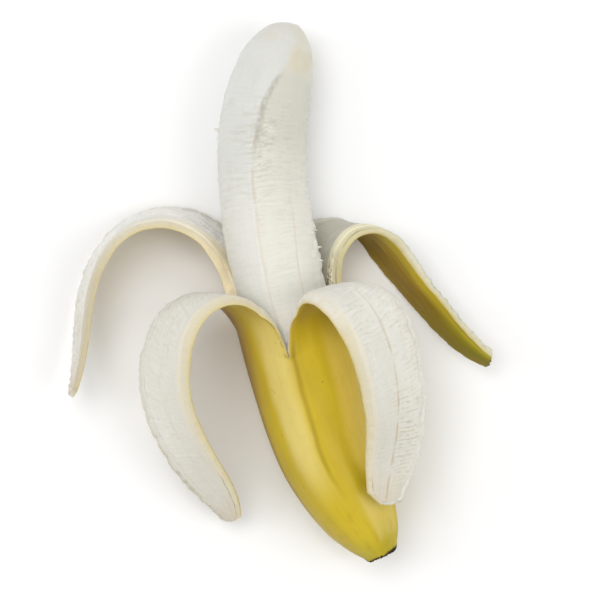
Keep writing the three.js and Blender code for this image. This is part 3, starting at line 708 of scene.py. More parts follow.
class Finish:
    """a material on one Principled shader, with short names for the nodes that feed it"""

    def __init__(self, name, **fixed):
        self.material = bpy.data.materials.new(name)
        self.material.use_nodes = True
        self.tree = self.material.node_tree
        self.shader = self.tree.nodes["Principled BSDF"]
        for key, value in fixed.items():
            self.shader.inputs[key.replace("_", " ")].default_value = value

    def node(self, kind, *ins, out=0, **props):
        n = self.tree.nodes.new(kind)
        for k, v in props.items():
            setattr(n, k, v)
        for i, v in enumerate(ins):
            self.put(n.inputs[i], v)
        return n.outputs[out]

    def put(self, socket, v):
        if v is None:
            return
        if isinstance(v, bpy.types.NodeSocket):
            self.tree.links.new(v, socket)
        else:
            socket.default_value = v

    def attribute(self, name, vector=False):
        return self.node("ShaderNodeAttribute", out=1 if vector else 2, attribute_name=name)

    def math(self, op, a, b=None, c=None, clamp=False):
        return self.node("ShaderNodeMath", a, b, c, operation=op, use_clamp=clamp)

    def scale(self, vector, x, y, z):
        return self.node("ShaderNodeVectorMath", vector, (x, y, z), operation="MULTIPLY")

    def noise(self, vector, detail=2.0, rough=0.5, distortion=0.0):
        n = self.tree.nodes.new("ShaderNodeTexNoise")
        self.put(n.inputs["Vector"], vector)
        n.inputs["Scale"].default_value = 1.0
        n.inputs["Detail"].default_value = detail
        n.inputs["Roughness"].default_value = rough
        n.inputs["Distortion"].default_value = distortion
        return n.outputs[0]

    def ease(self, x, lo, hi, to_lo=0.0, to_hi=1.0):
        return self.node("ShaderNodeMapRange", x, lo, hi, to_lo, to_hi, interpolation_type="SMOOTHSTEP")

    def mix(self, t, a, b, blend="MIX"):
        n = self.tree.nodes.new("ShaderNodeMix")
        n.data_type, n.blend_type, n.clamp_factor = "RGBA", blend, True
        self.put(n.inputs[0], t)
        self.put(n.inputs[6], a)
        self.put(n.inputs[7], b)
        return n.outputs[2]

    def ramp(self, t, *stops):
        n = self.tree.nodes.new("ShaderNodeValToRGB")
        n.color_ramp.elements[0].position, n.color_ramp.elements[0].color = stops[0]
        n.color_ramp.elements[1].position, n.color_ramp.elements[1].color = stops[-1]
        for at, colour in stops[1:-1]:
            n.color_ramp.elements.new(at).color = colour
        self.put(n.inputs[0], t)
        return n.outputs[0]

    def bump(self, height, distance, strength=1.0, over=None):
        n = self.tree.nodes.new("ShaderNodeBump")
        n.inputs["Strength"].default_value = strength
        n.inputs["Distance"].default_value = distance
        self.put(n.inputs["Height"], height)
        self.put(n.inputs["Normal"], over)
        return n.outputs[0]

    def done(self, colour, roughness, normal):
        self.put(self.shader.inputs["Base Color"], colour)
        self.put(self.shader.inputs["Roughness"], roughness)
        self.put(self.shader.inputs["Normal"], normal)
        return self.material


def skin_finish():
    m = Finish("banana_skin", IOR=1.45, Specular_IOR_Level=0.27)
    rest = m.attribute("rest", vector=True)
    edge, end = m.attribute("edge"), m.attribute("end")
    xyz = m.node("ShaderNodeSeparateXYZ", rest)
    x, y, s = xyz.node.outputs[0], xyz.node.outputs[1], xyz.node.outputs[2]
    angle = m.math("ARCTAN2", y, x)

    def around(degrees):
        """mm round the fruit from an azimuth"""
        d = m.math("SUBTRACT", angle, math.radians(degrees))
        return m.math("MULTIPLY", m.math("WRAP", d, math.pi, -math.pi), 18.5)

    broad = m.noise(m.scale(rest, 0.045, 0.045, 0.022), 2)
    colour = m.mix(m.ease(broad, 0.35, 0.68), YELLOW_DEEP, YELLOW)
    veins = m.noise(m.scale(rest, 0.75, 0.75, 0.035), 3, 0.6)
    cloud = m.noise(m.scale(rest, 0.16, 0.16, 0.05), 3, 0.55)
    wander = m.math("SUBTRACT", m.noise(m.scale(rest, 0.0, 0.0, 0.055), 2), 0.5)
    # painted highlight: a paler band on the left of the front ridge, where the light's reflection falls
    painted_highlight = m.math("ABSOLUTE", m.math("ADD", around(-27), m.math("ADD", m.math("MULTIPLY", wander, 3.0), m.math("MULTIPLY", m.math("SUBTRACT", cloud, 0.5), 3.0))))
    painted_highlight = m.math("MULTIPLY", m.ease(painted_highlight, 7.8, 2.6), m.math("MULTIPLY", m.ease(s, 20.0, 44.0), m.ease(s, 97.0, 84.0)))
    # the facet right of it is painted the brightest yellow: painted light against the shade of the front right strip
    # above it
    painted_lift = m.math("MULTIPLY", m.math("MULTIPLY", m.ease(m.math("ADD", around(22), m.ease(s, 40.0, 78.0, 0.0, 7.0)), -2.0, 6.0), m.ease(around(76), 2.0, -5.0)), m.math("MULTIPLY", m.ease(s, 22.0, 42.0), m.ease(s, 94.0, 74.0)))
    colour = m.mix(m.math("MULTIPLY", painted_lift, 0.85), colour, YELLOW_BRIGHT)
    # more painted light deeper under that strip's arch
    painted_lift_deep = m.math("MULTIPLY", m.math("MULTIPLY", m.ease(around(26), 0.0, 5.0), m.ease(around(78), 1.0, -2.0)), m.math("MULTIPLY", m.ease(s, 22.0, 35.0), m.ease(s, 86.0, 70.0)))
    colour = m.mix(m.math("MULTIPLY", painted_lift_deep, 0.88), colour, YELLOW_PAINTED_LIFT)
    # a paler patch low on the front: painted highlight
    painted_highlight_low = m.math("MULTIPLY", m.math("MULTIPLY", m.ease(around(4), 0.0, 4.0), m.ease(around(70), 2.0, -4.0)), m.math("MULTIPLY", m.ease(s, 2.0, 7.0), m.ease(s, 26.0, 16.0)))
    colour = m.mix(m.math("MULTIPLY", painted_highlight_low, 0.34), colour, YELLOW_PALE)
    colour = m.mix(m.math("MULTIPLY", painted_highlight, 0.62), colour, YELLOW_PALE)
    colour = m.mix(m.ease(veins, 0.46, 0.78, 0, 0.09), colour, YELLOW_PALE)
    colour = m.mix(m.ease(veins, 0.42, 0.22, 0, 0.10), colour, YELLOW_BROWN)
    colour = m.mix(m.ease(cloud, 0.52, 0.72, 0, 0.16), colour, YELLOW_BRIGHT)
    # the left side is browner above, painted shade under the front left strip's fold, and greener below
    left_shade_and_green = m.ease(around(-92), 15.0, 3.0)
    left_shade_and_green = m.math("MULTIPLY", left_shade_and_green, m.ease(around(-92), -22.0, -8.0))
    colour = m.mix(m.math("MULTIPLY", left_shade_and_green, m.ease(s, 45.0, 80.0, 0, 0.78)), colour, YELLOW_BROWN)
    colour = m.mix(m.math("MULTIPLY", left_shade_and_green, m.ease(s, 66.0, 30.0, 0, 0.60)), colour, OLIVE)
    shin = m.math("MULTIPLY", m.math("MULTIPLY", m.ease(around(-72), -6.0, 2.0), m.ease(around(-30), 1.0, -5.0)), m.math("MULTIPLY", m.ease(s, 3.0, 9.0), m.ease(s, 52.0, 36.0)))
    colour = m.mix(m.math("MULTIPLY", shin, 0.42), colour, OLIVE)
    # painted shade: browner again under the fold where the front right strip turns over
    fold_shade = m.math("MULTIPLY", m.math("MULTIPLY", m.ease(around(-6), 0.0, 2.5), m.ease(around(78), 0.0, -3.0)), m.ease(m.math("ADD", s, m.math("MULTIPLY", m.math("SUBTRACT", cloud, 0.5), 16.0)), 77.0, 92.0, 0.0, 0.28))
    colour = m.mix(fold_shade, colour, YELLOW_BROWN)
    # the back right strip is the brownest: partly its own colour, mostly painted shade, as its outside faces away from
    # the light
    back = m.math("MULTIPLY", m.ease(around(80), 0.6, 4.5), m.ease(around(180), 6.0, -4.0))
    shade = m.mix(m.ease(m.math("ADD", around(80), m.math("MULTIPLY", m.math("SUBTRACT", cloud, 0.5), 9.0)), 2.0, 13.0), OLIVE, OLIVE_DEEP)
    colour = m.mix(m.math("MULTIPLY", back, m.ease(s, 74.0, 92.0, 0, 0.92)), colour, shade)
    colour = m.mix(m.math("MULTIPLY", back, m.math("MULTIPLY", m.ease(s, 112.0, 120.0), m.ease(s, 140.0, 128.0, 0, 0.45))), colour, OLIVE)
    streak = m.noise(m.scale(rest, 0.50, 0.50, 0.07), 3, 0.62)
    far = m.math("MULTIPLY", back, m.ease(s, 98.0, 112.0))
    colour = m.mix(m.math("MULTIPLY", far, m.ease(streak, 0.50, 0.34, 0, 0.45)), colour, OLIVE_DARK)
    colour = m.mix(m.math("MULTIPLY", far, m.ease(streak, 0.52, 0.68, 0, 0.50)), colour, OLIVE_PALE)
    colour = m.mix(m.math("MULTIPLY", far, m.ease(m.math("ABSOLUTE", m.math("SUBTRACT", s, 174.0)), 13.0, 4.0, 0, 0.55)), colour, OLIVE)
    # greener towards the stem, which is where the strips end, and at the blossom end
    patch = m.noise(m.scale(rest, 0.09, 0.09, 0.05), 2)
    green = m.math("MULTIPLY", m.ease(end, 40, 5), m.ease(patch, 0.25, 0.6, 0.45, 0.9))
    colour = m.mix(green, colour, GREEN_DEEP)
    # across the back right strip, lighter beside its near edge and darker away from it: painted light and shade, as the
    # strip turns from the light
    across_back = m.math("ADD", around(80), m.math("MULTIPLY", m.math("SUBTRACT", cloud, 0.5), 4.0))
    colour = m.mix(m.math("MULTIPLY", far, m.ease(across_back, 13.5, 3.0, 0, 0.50)), colour, OLIVE_LIT)
    colour = m.mix(m.math("MULTIPLY", m.math("MULTIPLY", far, m.ease(s, 116.0, 142.0, 0.1, 1.0)), m.ease(across_back, 12.5, 19.5, 0, 0.40)), colour, OLIVE_FAR)
    low = m.ease(m.math("ADD", s, m.math("MULTIPLY", patch, 9.0)), 17.0, 5.0, 0, 0.36)
    colour = m.mix(low, colour, GREEN)
    mottle = m.noise(m.scale(rest, 0.28, 0.28, 0.2), 3, 0.6)
    colour = m.mix(m.math("MULTIPLY", m.ease(mottle, 0.50, 0.68), m.ease(s, 26.0, 10.0, 0.05, 0.18)), colour, YELLOW_BROWN)
    # darker lines along the ridges; the front one is the tear running on down
    for a, strength in ((-5, 1.0), (80, 0.3), (180, 0.3), (267, 0.3)):
        mm = m.math("ABSOLUTE", m.math("ADD", around(a if a <= 180 else a - 360), m.math("MULTIPLY", wander, 2.4)))
        line = m.math("MULTIPLY", m.ease(mm, 1.5, 0.1), m.ease(s, 20.0, 40.0, 0.0, 0.40 * strength))
        line = m.math("MULTIPLY", line, m.ease(s, 84.0, 76.0)) if a == -5 else line
        line = m.math("MULTIPLY", line, m.ease(edge, 0.3, 2.0)) if a != -5 else line
        colour = m.mix(line, colour, RIDGE)
    # painted shade along the left ridge, darkest where the side turns from the light
    left_edge_shade = m.math("MULTIPLY", m.ease(m.math("ABSOLUTE", around(-88)), 5.5, 1.8), m.math("MULTIPLY", m.ease(s, 14.0, 36.0, 0.0, 0.62), m.ease(s, 104.0, 94.0)))
    colour = m.mix(left_edge_shade, colour, RIDGE)
    # brown bits where the front tear began
    torn_skin = m.math("MULTIPLY", m.math("MULTIPLY", m.ease(edge, 1.9, 0.3), m.ease(around(-10), 1.0, -0.5)), m.math("MULTIPLY", m.ease(s, 100.0, 92.0), m.ease(m.noise(m.scale(rest, 0.5, 0.5, 0.35), 2), 0.42, 0.56)))
    colour = m.mix(m.math("MULTIPLY", torn_skin, 0.40), colour, SPECK)
    # a few small brown specks
    spots = m.tree.nodes.new("ShaderNodeTexVoronoi")
    m.put(spots.inputs["Vector"], m.scale(rest, 0.42, 0.42, 0.30))
    spots.inputs["Scale"].default_value = 1.0
    rare = m.ease(m.noise(m.scale(rest, 0.16, 0.16, 0.13), 1), 0.62, 0.70)
    speck = m.math("MULTIPLY", m.ease(spots.outputs["Distance"], 0.16, 0.07), rare)
    colour = m.mix(m.math("MULTIPLY", speck, 0.45), colour, SPECK)
    # the very edge of a tear dries darker
    colour = m.mix(m.ease(edge, 0.7, 0.0, 0, 0.30), colour, EDGE_YELLOW)
    colour = m.mix(m.math("MULTIPLY", m.ease(m.math("ADD", end, m.math("MULTIPLY", patch, 2.0)), 2.6, 1.0), 0.8), colour, BLACK)
    crumb = m.noise(m.scale(rest, 0.9, 0.9, 0.9), 3, 0.6)
    ragged = m.math("SUBTRACT", m.math("MULTIPLY", crumb, 1.8), m.math("MULTIPLY", m.ease(around(45), -14.0, 2.0), 0.55))
    black = m.ease(m.math("ADD", s, ragged), 1.45 + PEEL_END_S, 0.85 + PEEL_END_S)
    colour = m.mix(black, colour, BLACK)
    gloss = m.ease(m.noise(m.scale(rest, 0.35, 0.35, 0.12), 3), 0.3, 0.7, 0.36, 0.50)
    gloss = m.math("ADD", gloss, m.math("MULTIPLY", black, 0.35))
    pores = m.noise(m.scale(rest, 2.6, 2.6, 1.1), 2, 0.6)
    normal = m.bump(pores, 0.00008, 0.35)
    normal = m.bump(veins, 0.00010, 0.35, normal)
    return m.done(colour, gloss, normal)


def pith_finish():
    m = Finish("banana_pith", IOR=1.4, Specular_IOR_Level=0.25, Subsurface_Weight=0.4, Subsurface_Scale=0.0014)
    m.shader.inputs["Subsurface Radius"].default_value = (1.0, 0.85, 0.6)
    rest = m.attribute("rest", vector=True)
    depth, edge, end, across, cream = (m.attribute(k) for k in ("depth", "edge", "end", "across", "cream"))
    xyz = m.node("ShaderNodeSeparateXYZ", rest)
    x, y, s = xyz.node.outputs[0], xyz.node.outputs[1], xyz.node.outputs[2]
    angle = m.math("MULTIPLY", m.math("ARCTAN2", y, x), 180 / math.pi)
    broad = m.noise(m.scale(rest, 0.06, 0.06, 0.03), 2)
    colour = m.mix(m.ease(broad, 0.35, 0.7), PITH_A, PITH_B)
    strands = m.noise(m.scale(rest, 0.85, 0.85, 0.05), 4, 0.62)
    colour = m.mix(m.ease(strands, 0.46, 0.28, 0, 0.30), colour, PITH_SHADE)
    colour = m.mix(m.ease(strands, 0.56, 0.78, 0, 0.55), colour, PITH_WHITE)
    creases = m.noise(m.scale(rest, 0.20, 0.20, 0.85), 3, 0.6)
    creased = m.ease(m.noise(m.scale(rest, 0.05, 0.05, 0.03), 1), 0.36, 0.58, 0.25, 1.0)
    colour = m.mix(m.math("MULTIPLY", m.ease(creases, 0.46, 0.33, 0, 0.36), creased), colour, PITH_SHADE)
    colour = m.mix(m.math("MULTIPLY", m.ease(creases, 0.54, 0.68, 0, 0.40), creased), colour, PITH_WHITE)
    # fine puckers across it, plainest low on the right of the front right strip
    right_front = m.math("MULTIPLY", m.ease(angle, -9, -4), m.ease(angle, 80, 74))
    wobble = m.math("MULTIPLY", m.math("SUBTRACT", m.noise(m.scale(rest, 0.09, 0.09, 0.13), 2), 0.5), 3.6)
    wave = m.math("SINE", m.math("MULTIPLY", m.math("ADD", s, wobble), 2 * math.pi / 1.6))
    dashes = m.ease(m.noise(m.scale(rest, 0.34, 0.34, 0.75), 2, 0.6), 0.42, 0.58)
    pucker = m.ease(m.noise(m.scale(rest, 0.10, 0.10, 0.07), 2), 0.38, 0.62, 0.04, 0.28)
    low_right = m.math("MULTIPLY", m.math("MULTIPLY", right_front, m.ease(across, 0.5, 3.0)), m.math("MULTIPLY", m.ease(end, 46.0, 34.0), m.ease(end, 2.0, 9.0)))
    left_front = m.math("MULTIPLY", m.math("GREATER_THAN", angle, -92.5), m.math("LESS_THAN", angle, -9))
    pucker = m.math("MULTIPLY", m.math("ADD", pucker, m.math("MULTIPLY", low_right, 0.46)), m.math("MULTIPLY", dashes, m.math("SUBTRACT", 1.0, m.math("MULTIPLY", left_front, 0.45))))
    colour = m.mix(m.math("MULTIPLY", m.ease(wave, 0.1, 1.0), pucker), colour, PUCKER)
    stripes = m.noise(m.scale(rest, 0.30, 0.30, 0.012), 2, 0.5)
    colour = m.mix(m.ease(stripes, 0.46, 0.32, 0, 0.35), colour, PITH_WARM)
    fleck = m.noise(m.scale(rest, 0.7, 0.7, 0.55), 3, 0.65)
    colour = m.mix(m.ease(fleck, 0.58, 0.74, 0, 0.35), colour, PITH_WHITE)
    # thin lines along it: a tan one near the middle, a greyer one beside each torn edge
    wander = m.math("MULTIPLY", m.math("SUBTRACT", m.noise(m.scale(rest, 0.02, 0.02, 0.035), 2), 0.5), 3.4)
    broken = m.ease(m.noise(m.scale(rest, 0.1, 0.1, 0.12), 2), 0.30, 0.52)
    lean = m.math("MULTIPLY", right_front, m.ease(end, 4.0, 62.0, 0.2, 1.5))
    shift = m.math("SUBTRACT", m.math("ADD", across, m.math("MULTIPLY", wander, 0.5)), lean)
    middle = m.ease(m.math("ABSOLUTE", shift), 0.80, 0.15)
    middle = m.math("MULTIPLY", middle, m.math("ADD", m.math("MULTIPLY", right_front, m.ease(end, 75.0, 30.0, 0.22, 0.62)), 0.14))
    colour = m.mix(m.math("MULTIPLY", middle, broken), colour, THREAD)
    beside = m.math("ABSOLUTE", m.math("SUBTRACT", m.math("ADD", edge, m.math("MULTIPLY", wander, 0.25)), 3.0))
    beside = m.math("MULTIPLY", m.ease(beside, 0.5, 0.08, 0, 0.34), m.math("SUBTRACT", 1.0, m.math("MAXIMUM", cream, right_front)))
    beside = m.math("MULTIPLY", beside, m.ease(end, 6.0, 24.0))
    colour = m.mix(m.math("MULTIPLY", beside, broken), colour, PITH_GREY)
    # cream spreads in from the creamy edges
    waver = m.math("ADD", edge, m.math("MULTIPLY", m.math("SUBTRACT", m.noise(m.scale(rest, 0.25, 0.25, 0.12), 2), 0.5), 1.6))
    colour = m.mix(m.math("MULTIPLY", m.ease(waver, 4.6, 0.8, 0, 0.85), cream), colour, PITH_CREAM)
    colour = m.mix(m.math("MULTIPLY", m.ease(waver, 2.2, 0.0, 0, 0.45), cream), colour, CREAM)
    front = m.math("MAXIMUM", left_front, right_front)
    colour = m.mix(m.math("MULTIPLY", left_front, m.ease(end, 60, 24, 0, 0.30)), colour, PITH_WARM)
    colour = m.mix(m.math("MULTIPLY", front, m.ease(end, 52, 18, 0, 0.36)), colour, PITH_SHADE)
    colour = m.mix(m.ease(end, 16, 1, 0, 0.30), colour, TAN)
    # painted shade: pith greyed at the root of the back right strip, where it rises in shadow
    back_right_shade = m.math("MULTIPLY", m.math("MULTIPLY", m.ease(angle, 82, 92), m.ease(angle, 179, 168)), m.ease(s, 84, 96))
    colour = m.mix(m.math("MULTIPLY", back_right_shade, 0.55), colour, PITH_GREY)
    frill = m.math("MULTIPLY", m.math("MULTIPLY", m.ease(angle, 79, 80), m.ease(angle, 104, 92)), m.math("MULTIPLY", m.ease(edge, 6.0, 4.0), m.ease(s, 104, 176, 0.22, 0.74)))
    broad_band = m.math("MULTIPLY", m.math("MULTIPLY", m.ease(angle, 79.5, 81.0), m.ease(angle, 112, 100)), m.math("MULTIPLY", m.ease(edge, 5.6, 3.8), m.ease(s, 132, 118)))
    colour = m.mix(m.math("MULTIPLY", broad_band, 0.90), colour, BAND)
    # painted light: paler and warmer beside the fruit at the root of the back left strip, against the fruit's shade
    # there
    root = m.math("MULTIPLY", m.math("MULTIPLY", m.ease(angle, -152, -108), m.math("LESS_THAN", angle, -92.5)), m.math("MULTIPLY", m.ease(s, 90, 96), m.ease(s, 156, 120)))
    colour = m.mix(m.math("MULTIPLY", root, 0.92), colour, PITH_LIT)
    crest = m.math("MULTIPLY", m.math("MULTIPLY", m.ease(angle, -179, -164), m.ease(angle, -116, -142)), m.math("MULTIPLY", m.ease(s, 104, 124), m.ease(s, 196, 160)))
    colour = m.mix(m.math("MULTIPLY", crest, 0.50), colour, PITH_BARE)
    # across the torn edge: a thin skin, then cream or white, with a brown thread where the pith begins
    uneven = m.math("ADD", depth, m.math("MULTIPLY", m.math("SUBTRACT", m.noise(m.scale(rest, 0.5, 0.5, 0.16), 3), 0.5), 0.20))
    creamy = m.ramp(uneven, (0.0, EDGE_YELLOW), (0.05, CREAM_DEEP), (0.28, CREAM), (0.80, CREAM_PALE))
    plain = m.ramp(uneven, (0.0, EDGE_YELLOW), (0.05, PEACH), (0.22, CREAM_PALE), (0.55, PITH_B))
    wall = m.mix(cream, plain, creamy)
    fray = m.noise(m.scale(rest, 0.5, 0.5, 0.9), 3, 0.6)
    wall = m.mix(m.ease(fray, 0.50, 0.32, 0, 0.16), wall, TAN)
    thread = m.math("MULTIPLY", m.ease(m.math("ABSOLUTE", m.math("SUBTRACT", uneven, 0.60)), 0.13, 0.03), m.ease(m.noise(m.scale(rest, 0.25, 0.25, 0.14), 2), 0.34, 0.52))
    near_right = m.math("MULTIPLY", m.ease(angle, 76, 79), m.ease(angle, 84, 81))
    thread = m.math("MULTIPLY", thread, m.math("MULTIPLY", near_right, m.ease(cream, 0.6, 0.9, 0, 0.55)))
    wall = m.mix(thread, wall, BRUISE_DEEP)
    colour = m.mix(m.ease(depth, 0.99, 0.93), colour, wall)
    # yellower along the back right strip's near edge, duller along the outer part of the back left one
    colour = m.mix(m.math("MULTIPLY", frill, m.ease(cream, 0.1, 0.4)), colour, FRILL)
    outer_left = m.math("MULTIPLY", m.math("MULTIPLY", m.math("LESS_THAN", angle, -92.5), m.ease(angle, -118, -106)), m.ease(s, 142, 178))
    colour = m.mix(m.math("MULTIPLY", outer_left, 0.58), colour, DULL)
    # tan streaks at the root of the back left strip, painted paler there as painted light against the fruit's shade;
    # brown crumbs at that of the back right one
    back_left = m.math("MULTIPLY", m.math("MULTIPLY", m.ease(angle, -134, -112), m.math("LESS_THAN", angle, -92.5)), m.math("MULTIPLY", m.ease(s, 90, 93), m.ease(s, 142, 120)))
    streaks = m.noise(m.scale(rest, 0.6, 0.6, 0.05), 3)
    streaks_and_painted_light = m.math("MULTIPLY", m.math("MULTIPLY", back_left, m.ease(cream, 0.15, 0.55)), m.ease(streaks, 0.36, 0.56, 0.45, 1.0))
    colour = m.mix(m.math("MULTIPLY", streaks_and_painted_light, 0.85), colour, STREAK_PAINTED_LIGHT)
    colour = m.mix(m.math("MULTIPLY", streaks_and_painted_light, m.ease(streaks, 0.56, 0.70, 0, 0.45)), colour, BRUISE_WARM)
    crumbs = m.ease(m.noise(m.scale(rest, 0.9, 0.9, 0.7), 2), 0.50, 0.58)
    beads = m.math("MULTIPLY", m.math("MULTIPLY", m.ease(angle, 80.5, 82), m.ease(angle, 104, 96)), m.math("MULTIPLY", m.ease(s, 112, 100), m.math("GREATER_THAN", end, 0.5)))
    colour = m.mix(m.math("MULTIPLY", beads, m.math("MULTIPLY", crumbs, 0.7)), colour, BRUISE_DEEP)
    rough = m.ease(strands, 0.3, 0.7, 0.55, 0.75)
    fuzz = m.noise(m.scale(rest, 2.2, 2.2, 1.6), 4, 0.7)
    normal = m.bump(fuzz, 0.00022, 0.45)
    normal = m.bump(strands, 0.00018, 0.4, normal)
    normal = m.bump(creases, 0.00024, 0.4, normal)
    normal = m.bump(m.math("MULTIPLY", wave, pucker), 0.00013, 0.5, normal)
    return m.done(colour, rough, normal)


def scar_finish():
    m = Finish("blossom_scar", IOR=1.45, Specular_IOR_Level=0.3)
    rest = m.attribute("rest", vector=True)
    crumb = m.noise(m.scale(rest, 0.8, 0.8, 0.8), 4, 0.65)
    colour = m.ramp(crumb, (0.30, srgb(22, 16, 12)), (0.50, srgb(52, 38, 27)), (0.72, srgb(98, 74, 50)))
    return m.done(colour, m.ease(crumb, 0.3, 0.7, 0.7, 0.95), m.bump(crumb, 0.0006, 0.8))


def flesh_finish():
    m = Finish("banana_flesh", IOR=1.4, Specular_IOR_Level=0.3, Subsurface_Weight=0.45, Subsurface_Scale=0.0018)
    m.shader.inputs["Subsurface Radius"].default_value = (1.0, 0.9, 0.7)
    rest = m.attribute("rest", vector=True)
    seam_a = m.attribute("seam_a")
    xyz = m.node("ShaderNodeSeparateXYZ", rest)
    x, y, s = xyz.node.outputs[0], xyz.node.outputs[1], xyz.node.outputs[2]
    broad = m.noise(m.scale(rest, 0.05, 0.05, 0.03), 2)
    colour = m.mix(m.ease(broad, 0.35, 0.7), FLESH_A, FLESH_B)
    # the segment right of the front seam is a little yellower
    right = m.math("MULTIPLY", m.ease(seam_a, -0.5, 1.2), m.ease(y, 16.5, 13.0))
    colour = m.mix(m.math("MULTIPLY", right, m.ease(s, 96, 112, 0.35, 0.85)), colour, FLESH_RIGHT)
    ribs = m.noise(m.scale(rest, 0.10, 0.10, 0.72), 3, 0.55)
    fine = m.noise(m.scale(rest, 0.20, 0.20, 1.25), 2, 0.6)
    ribbed = m.math("MULTIPLY", m.ease(m.noise(m.scale(rest, 0.10, 0.10, 0.04), 2), 0.36, 0.56, 0.25, 1.0), m.ease(s, 174, 160))
    colour = m.mix(m.math("MULTIPLY", m.ease(ribs, 0.47, 0.34, 0, 0.45), ribbed), colour, FLESH_SHADE)
    colour = m.mix(m.math("MULTIPLY", m.ease(ribs, 0.54, 0.70, 0, 0.38), ribbed), colour, FLESH_WHITE)
    wobble = m.math("MULTIPLY", m.math("SUBTRACT", m.noise(m.scale(rest, 0.08, 0.08, 0.12), 2), 0.5), 4.2)
    wave = m.math("SINE", m.math("MULTIPLY", m.math("ADD", s, wobble), 2 * math.pi / 1.7))
    dashes = m.ease(m.noise(m.scale(rest, 0.32, 0.32, 0.70), 2, 0.6), 0.40, 0.58)
    middle = m.math("MULTIPLY", m.ease(seam_a, -5.0, 1.0), m.ease(m.attribute("seam_b"), 4.0, -2.0))
    lined = m.math("MULTIPLY", m.math("MULTIPLY", ribbed, m.ease(s, 172, 162)), m.math("MULTIPLY", dashes, m.math("ADD", m.math("MULTIPLY", middle, 0.30), 0.10)))
    colour = m.mix(m.math("MULTIPLY", m.ease(wave, -0.1, 1.0), lined), colour, FLESH_LINE)
    colour = m.mix(m.math("MULTIPLY", m.ease(fine, 0.46, 0.32, 0, 0.32), ribbed), colour, FLESH_SHADE)
    grain = m.noise(m.scale(rest, 1.0, 1.0, 0.05), 3, 0.6)
    colour = m.mix(m.ease(grain, 0.50, 0.30, 0, 0.16), colour, FLESH_SHADE)
    # painted shade: the right segment greyer towards the tip, and a painted shadow line in the step beside the seam
    upper_shade = m.math("MULTIPLY", m.ease(seam_a, -0.2, 1.0), m.math("MULTIPLY", m.ease(s, 140, 156), m.ease(s, 182, 174)))
    colour = m.mix(m.math("MULTIPLY", upper_shade, 0.42), colour, FLESH_SHADE)
    speckle = m.noise(m.scale(rest, 0.7, 0.7, 0.5), 2)
    step = m.math("MULTIPLY", m.ease(m.math("ABSOLUTE", m.math("SUBTRACT", seam_a, 0.6)), 1.7, 0.1), m.math("MULTIPLY", m.ease(s, 143, 152), m.ease(s, 178, 171)))
    colour = m.mix(m.math("MULTIPLY", step, m.ease(speckle, 0.36, 0.62, 0.20, 0.52)), colour, FLESH_STEP)
    patch = m.math("MULTIPLY", m.math("MULTIPLY", m.ease(seam_a, 1.0, 2.4), m.ease(seam_a, 8.0, 5.0)), m.math("MULTIPLY", m.ease(s, 134, 142), m.ease(s, 162, 156)))
    flecks = m.noise(m.scale(rest, 0.30, 0.30, 0.95), 3, 0.65)
    colour = m.mix(m.math("MULTIPLY", patch, m.ease(flecks, 0.48, 0.34, 0, 0.34)), colour, FLESH_STEP)
    colour = m.mix(m.math("MULTIPLY", patch, m.ease(flecks, 0.52, 0.68, 0, 0.42)), colour, FLESH_LIT)
    broken = m.ease(m.noise(m.scale(rest, 0.02, 0.02, 0.09), 2), 0.34, 0.58)
    for name, wide, strength in (("seam_a", 0.8, 0.40), ("seam_b", 0.6, 0.46), ("seam_back", 0.7, 0.40)):
        d = m.math("ABSOLUTE", m.attribute(name))
        line = m.math("MULTIPLY", m.ease(d, wide, 0.15, 0, strength), m.math("MULTIPLY", broken, m.ease(s, 140, 118) if name == "seam_b" else m.ease(s, 158, 150)))
        colour = m.mix(line, colour, TAN)
    # beige towards the tip, most on the right
    blotch = m.noise(m.scale(rest, 0.12, 0.12, 0.11), 3)
    tip = m.math("MULTIPLY", m.ease(s, 176, 190), m.ease(blotch, 0.42, 0.62))
    colour = m.mix(m.math("MULTIPLY", tip, 0.25), colour, BEIGE)
    near = m.math("MULTIPLY", m.math("MULTIPLY", m.ease(s, 175, 181), m.ease(s, 190, 185)), m.math("MULTIPLY", m.ease(y, 1.5, 6.0), m.ease(y, 13.0, 9.0)))
    colour = m.mix(m.math("MULTIPLY", near, m.ease(blotch, 0.35, 0.65, 0.35, 0.65)), colour, BEIGE)
    colour = m.mix(m.ease(s, 189, 193.5, 0, 0.5), colour, FLESH_RIGHT)
    # painted light: brightest where the peel still closes round it, against the shade there
    colour = m.mix(m.ease(s, 152, 114, 0, 0.36), colour, FLESH_LIT)
    colour = m.mix(m.ease(s, 99, 86, 0, 0.8), colour, FLESH_LIT)
    rough = m.ease(ribs, 0.3, 0.7, 0.45, 0.62)
    skin = m.noise(m.scale(rest, 1.6, 1.6, 2.2), 4, 0.65)
    normal = m.bump(skin, 0.00018, 0.45)
    normal = m.bump(grain, 0.00014, 0.4, normal)
    normal = m.bump(fine, 0.00018, 0.5, normal)
    normal = m.bump(ribs, 0.00026, 0.45, normal)
    normal = m.bump(m.math("MULTIPLY", wave, lined), 0.00016, 0.6, normal)
    return m.done(colour, rough, normal)


def fibre_finish():
    m = Finish("pith_fibre", IOR=1.4, Specular_IOR_Level=0.25)
    rest = m.attribute("rest", vector=True)
    tone = m.noise(m.scale(rest, 0.4, 0.4, 0.4), 2)
    colour = m.mix(m.ease(tone, 0.35, 0.65), PITH_WHITE, PITH_A)
    grain = m.noise(m.scale(rest, 3.0, 3.0, 3.0), 2)
    return m.done(colour, m.ease(tone, 0.3, 0.7, 0.6, 0.8), m.bump(grain, 0.00005, 0.3))


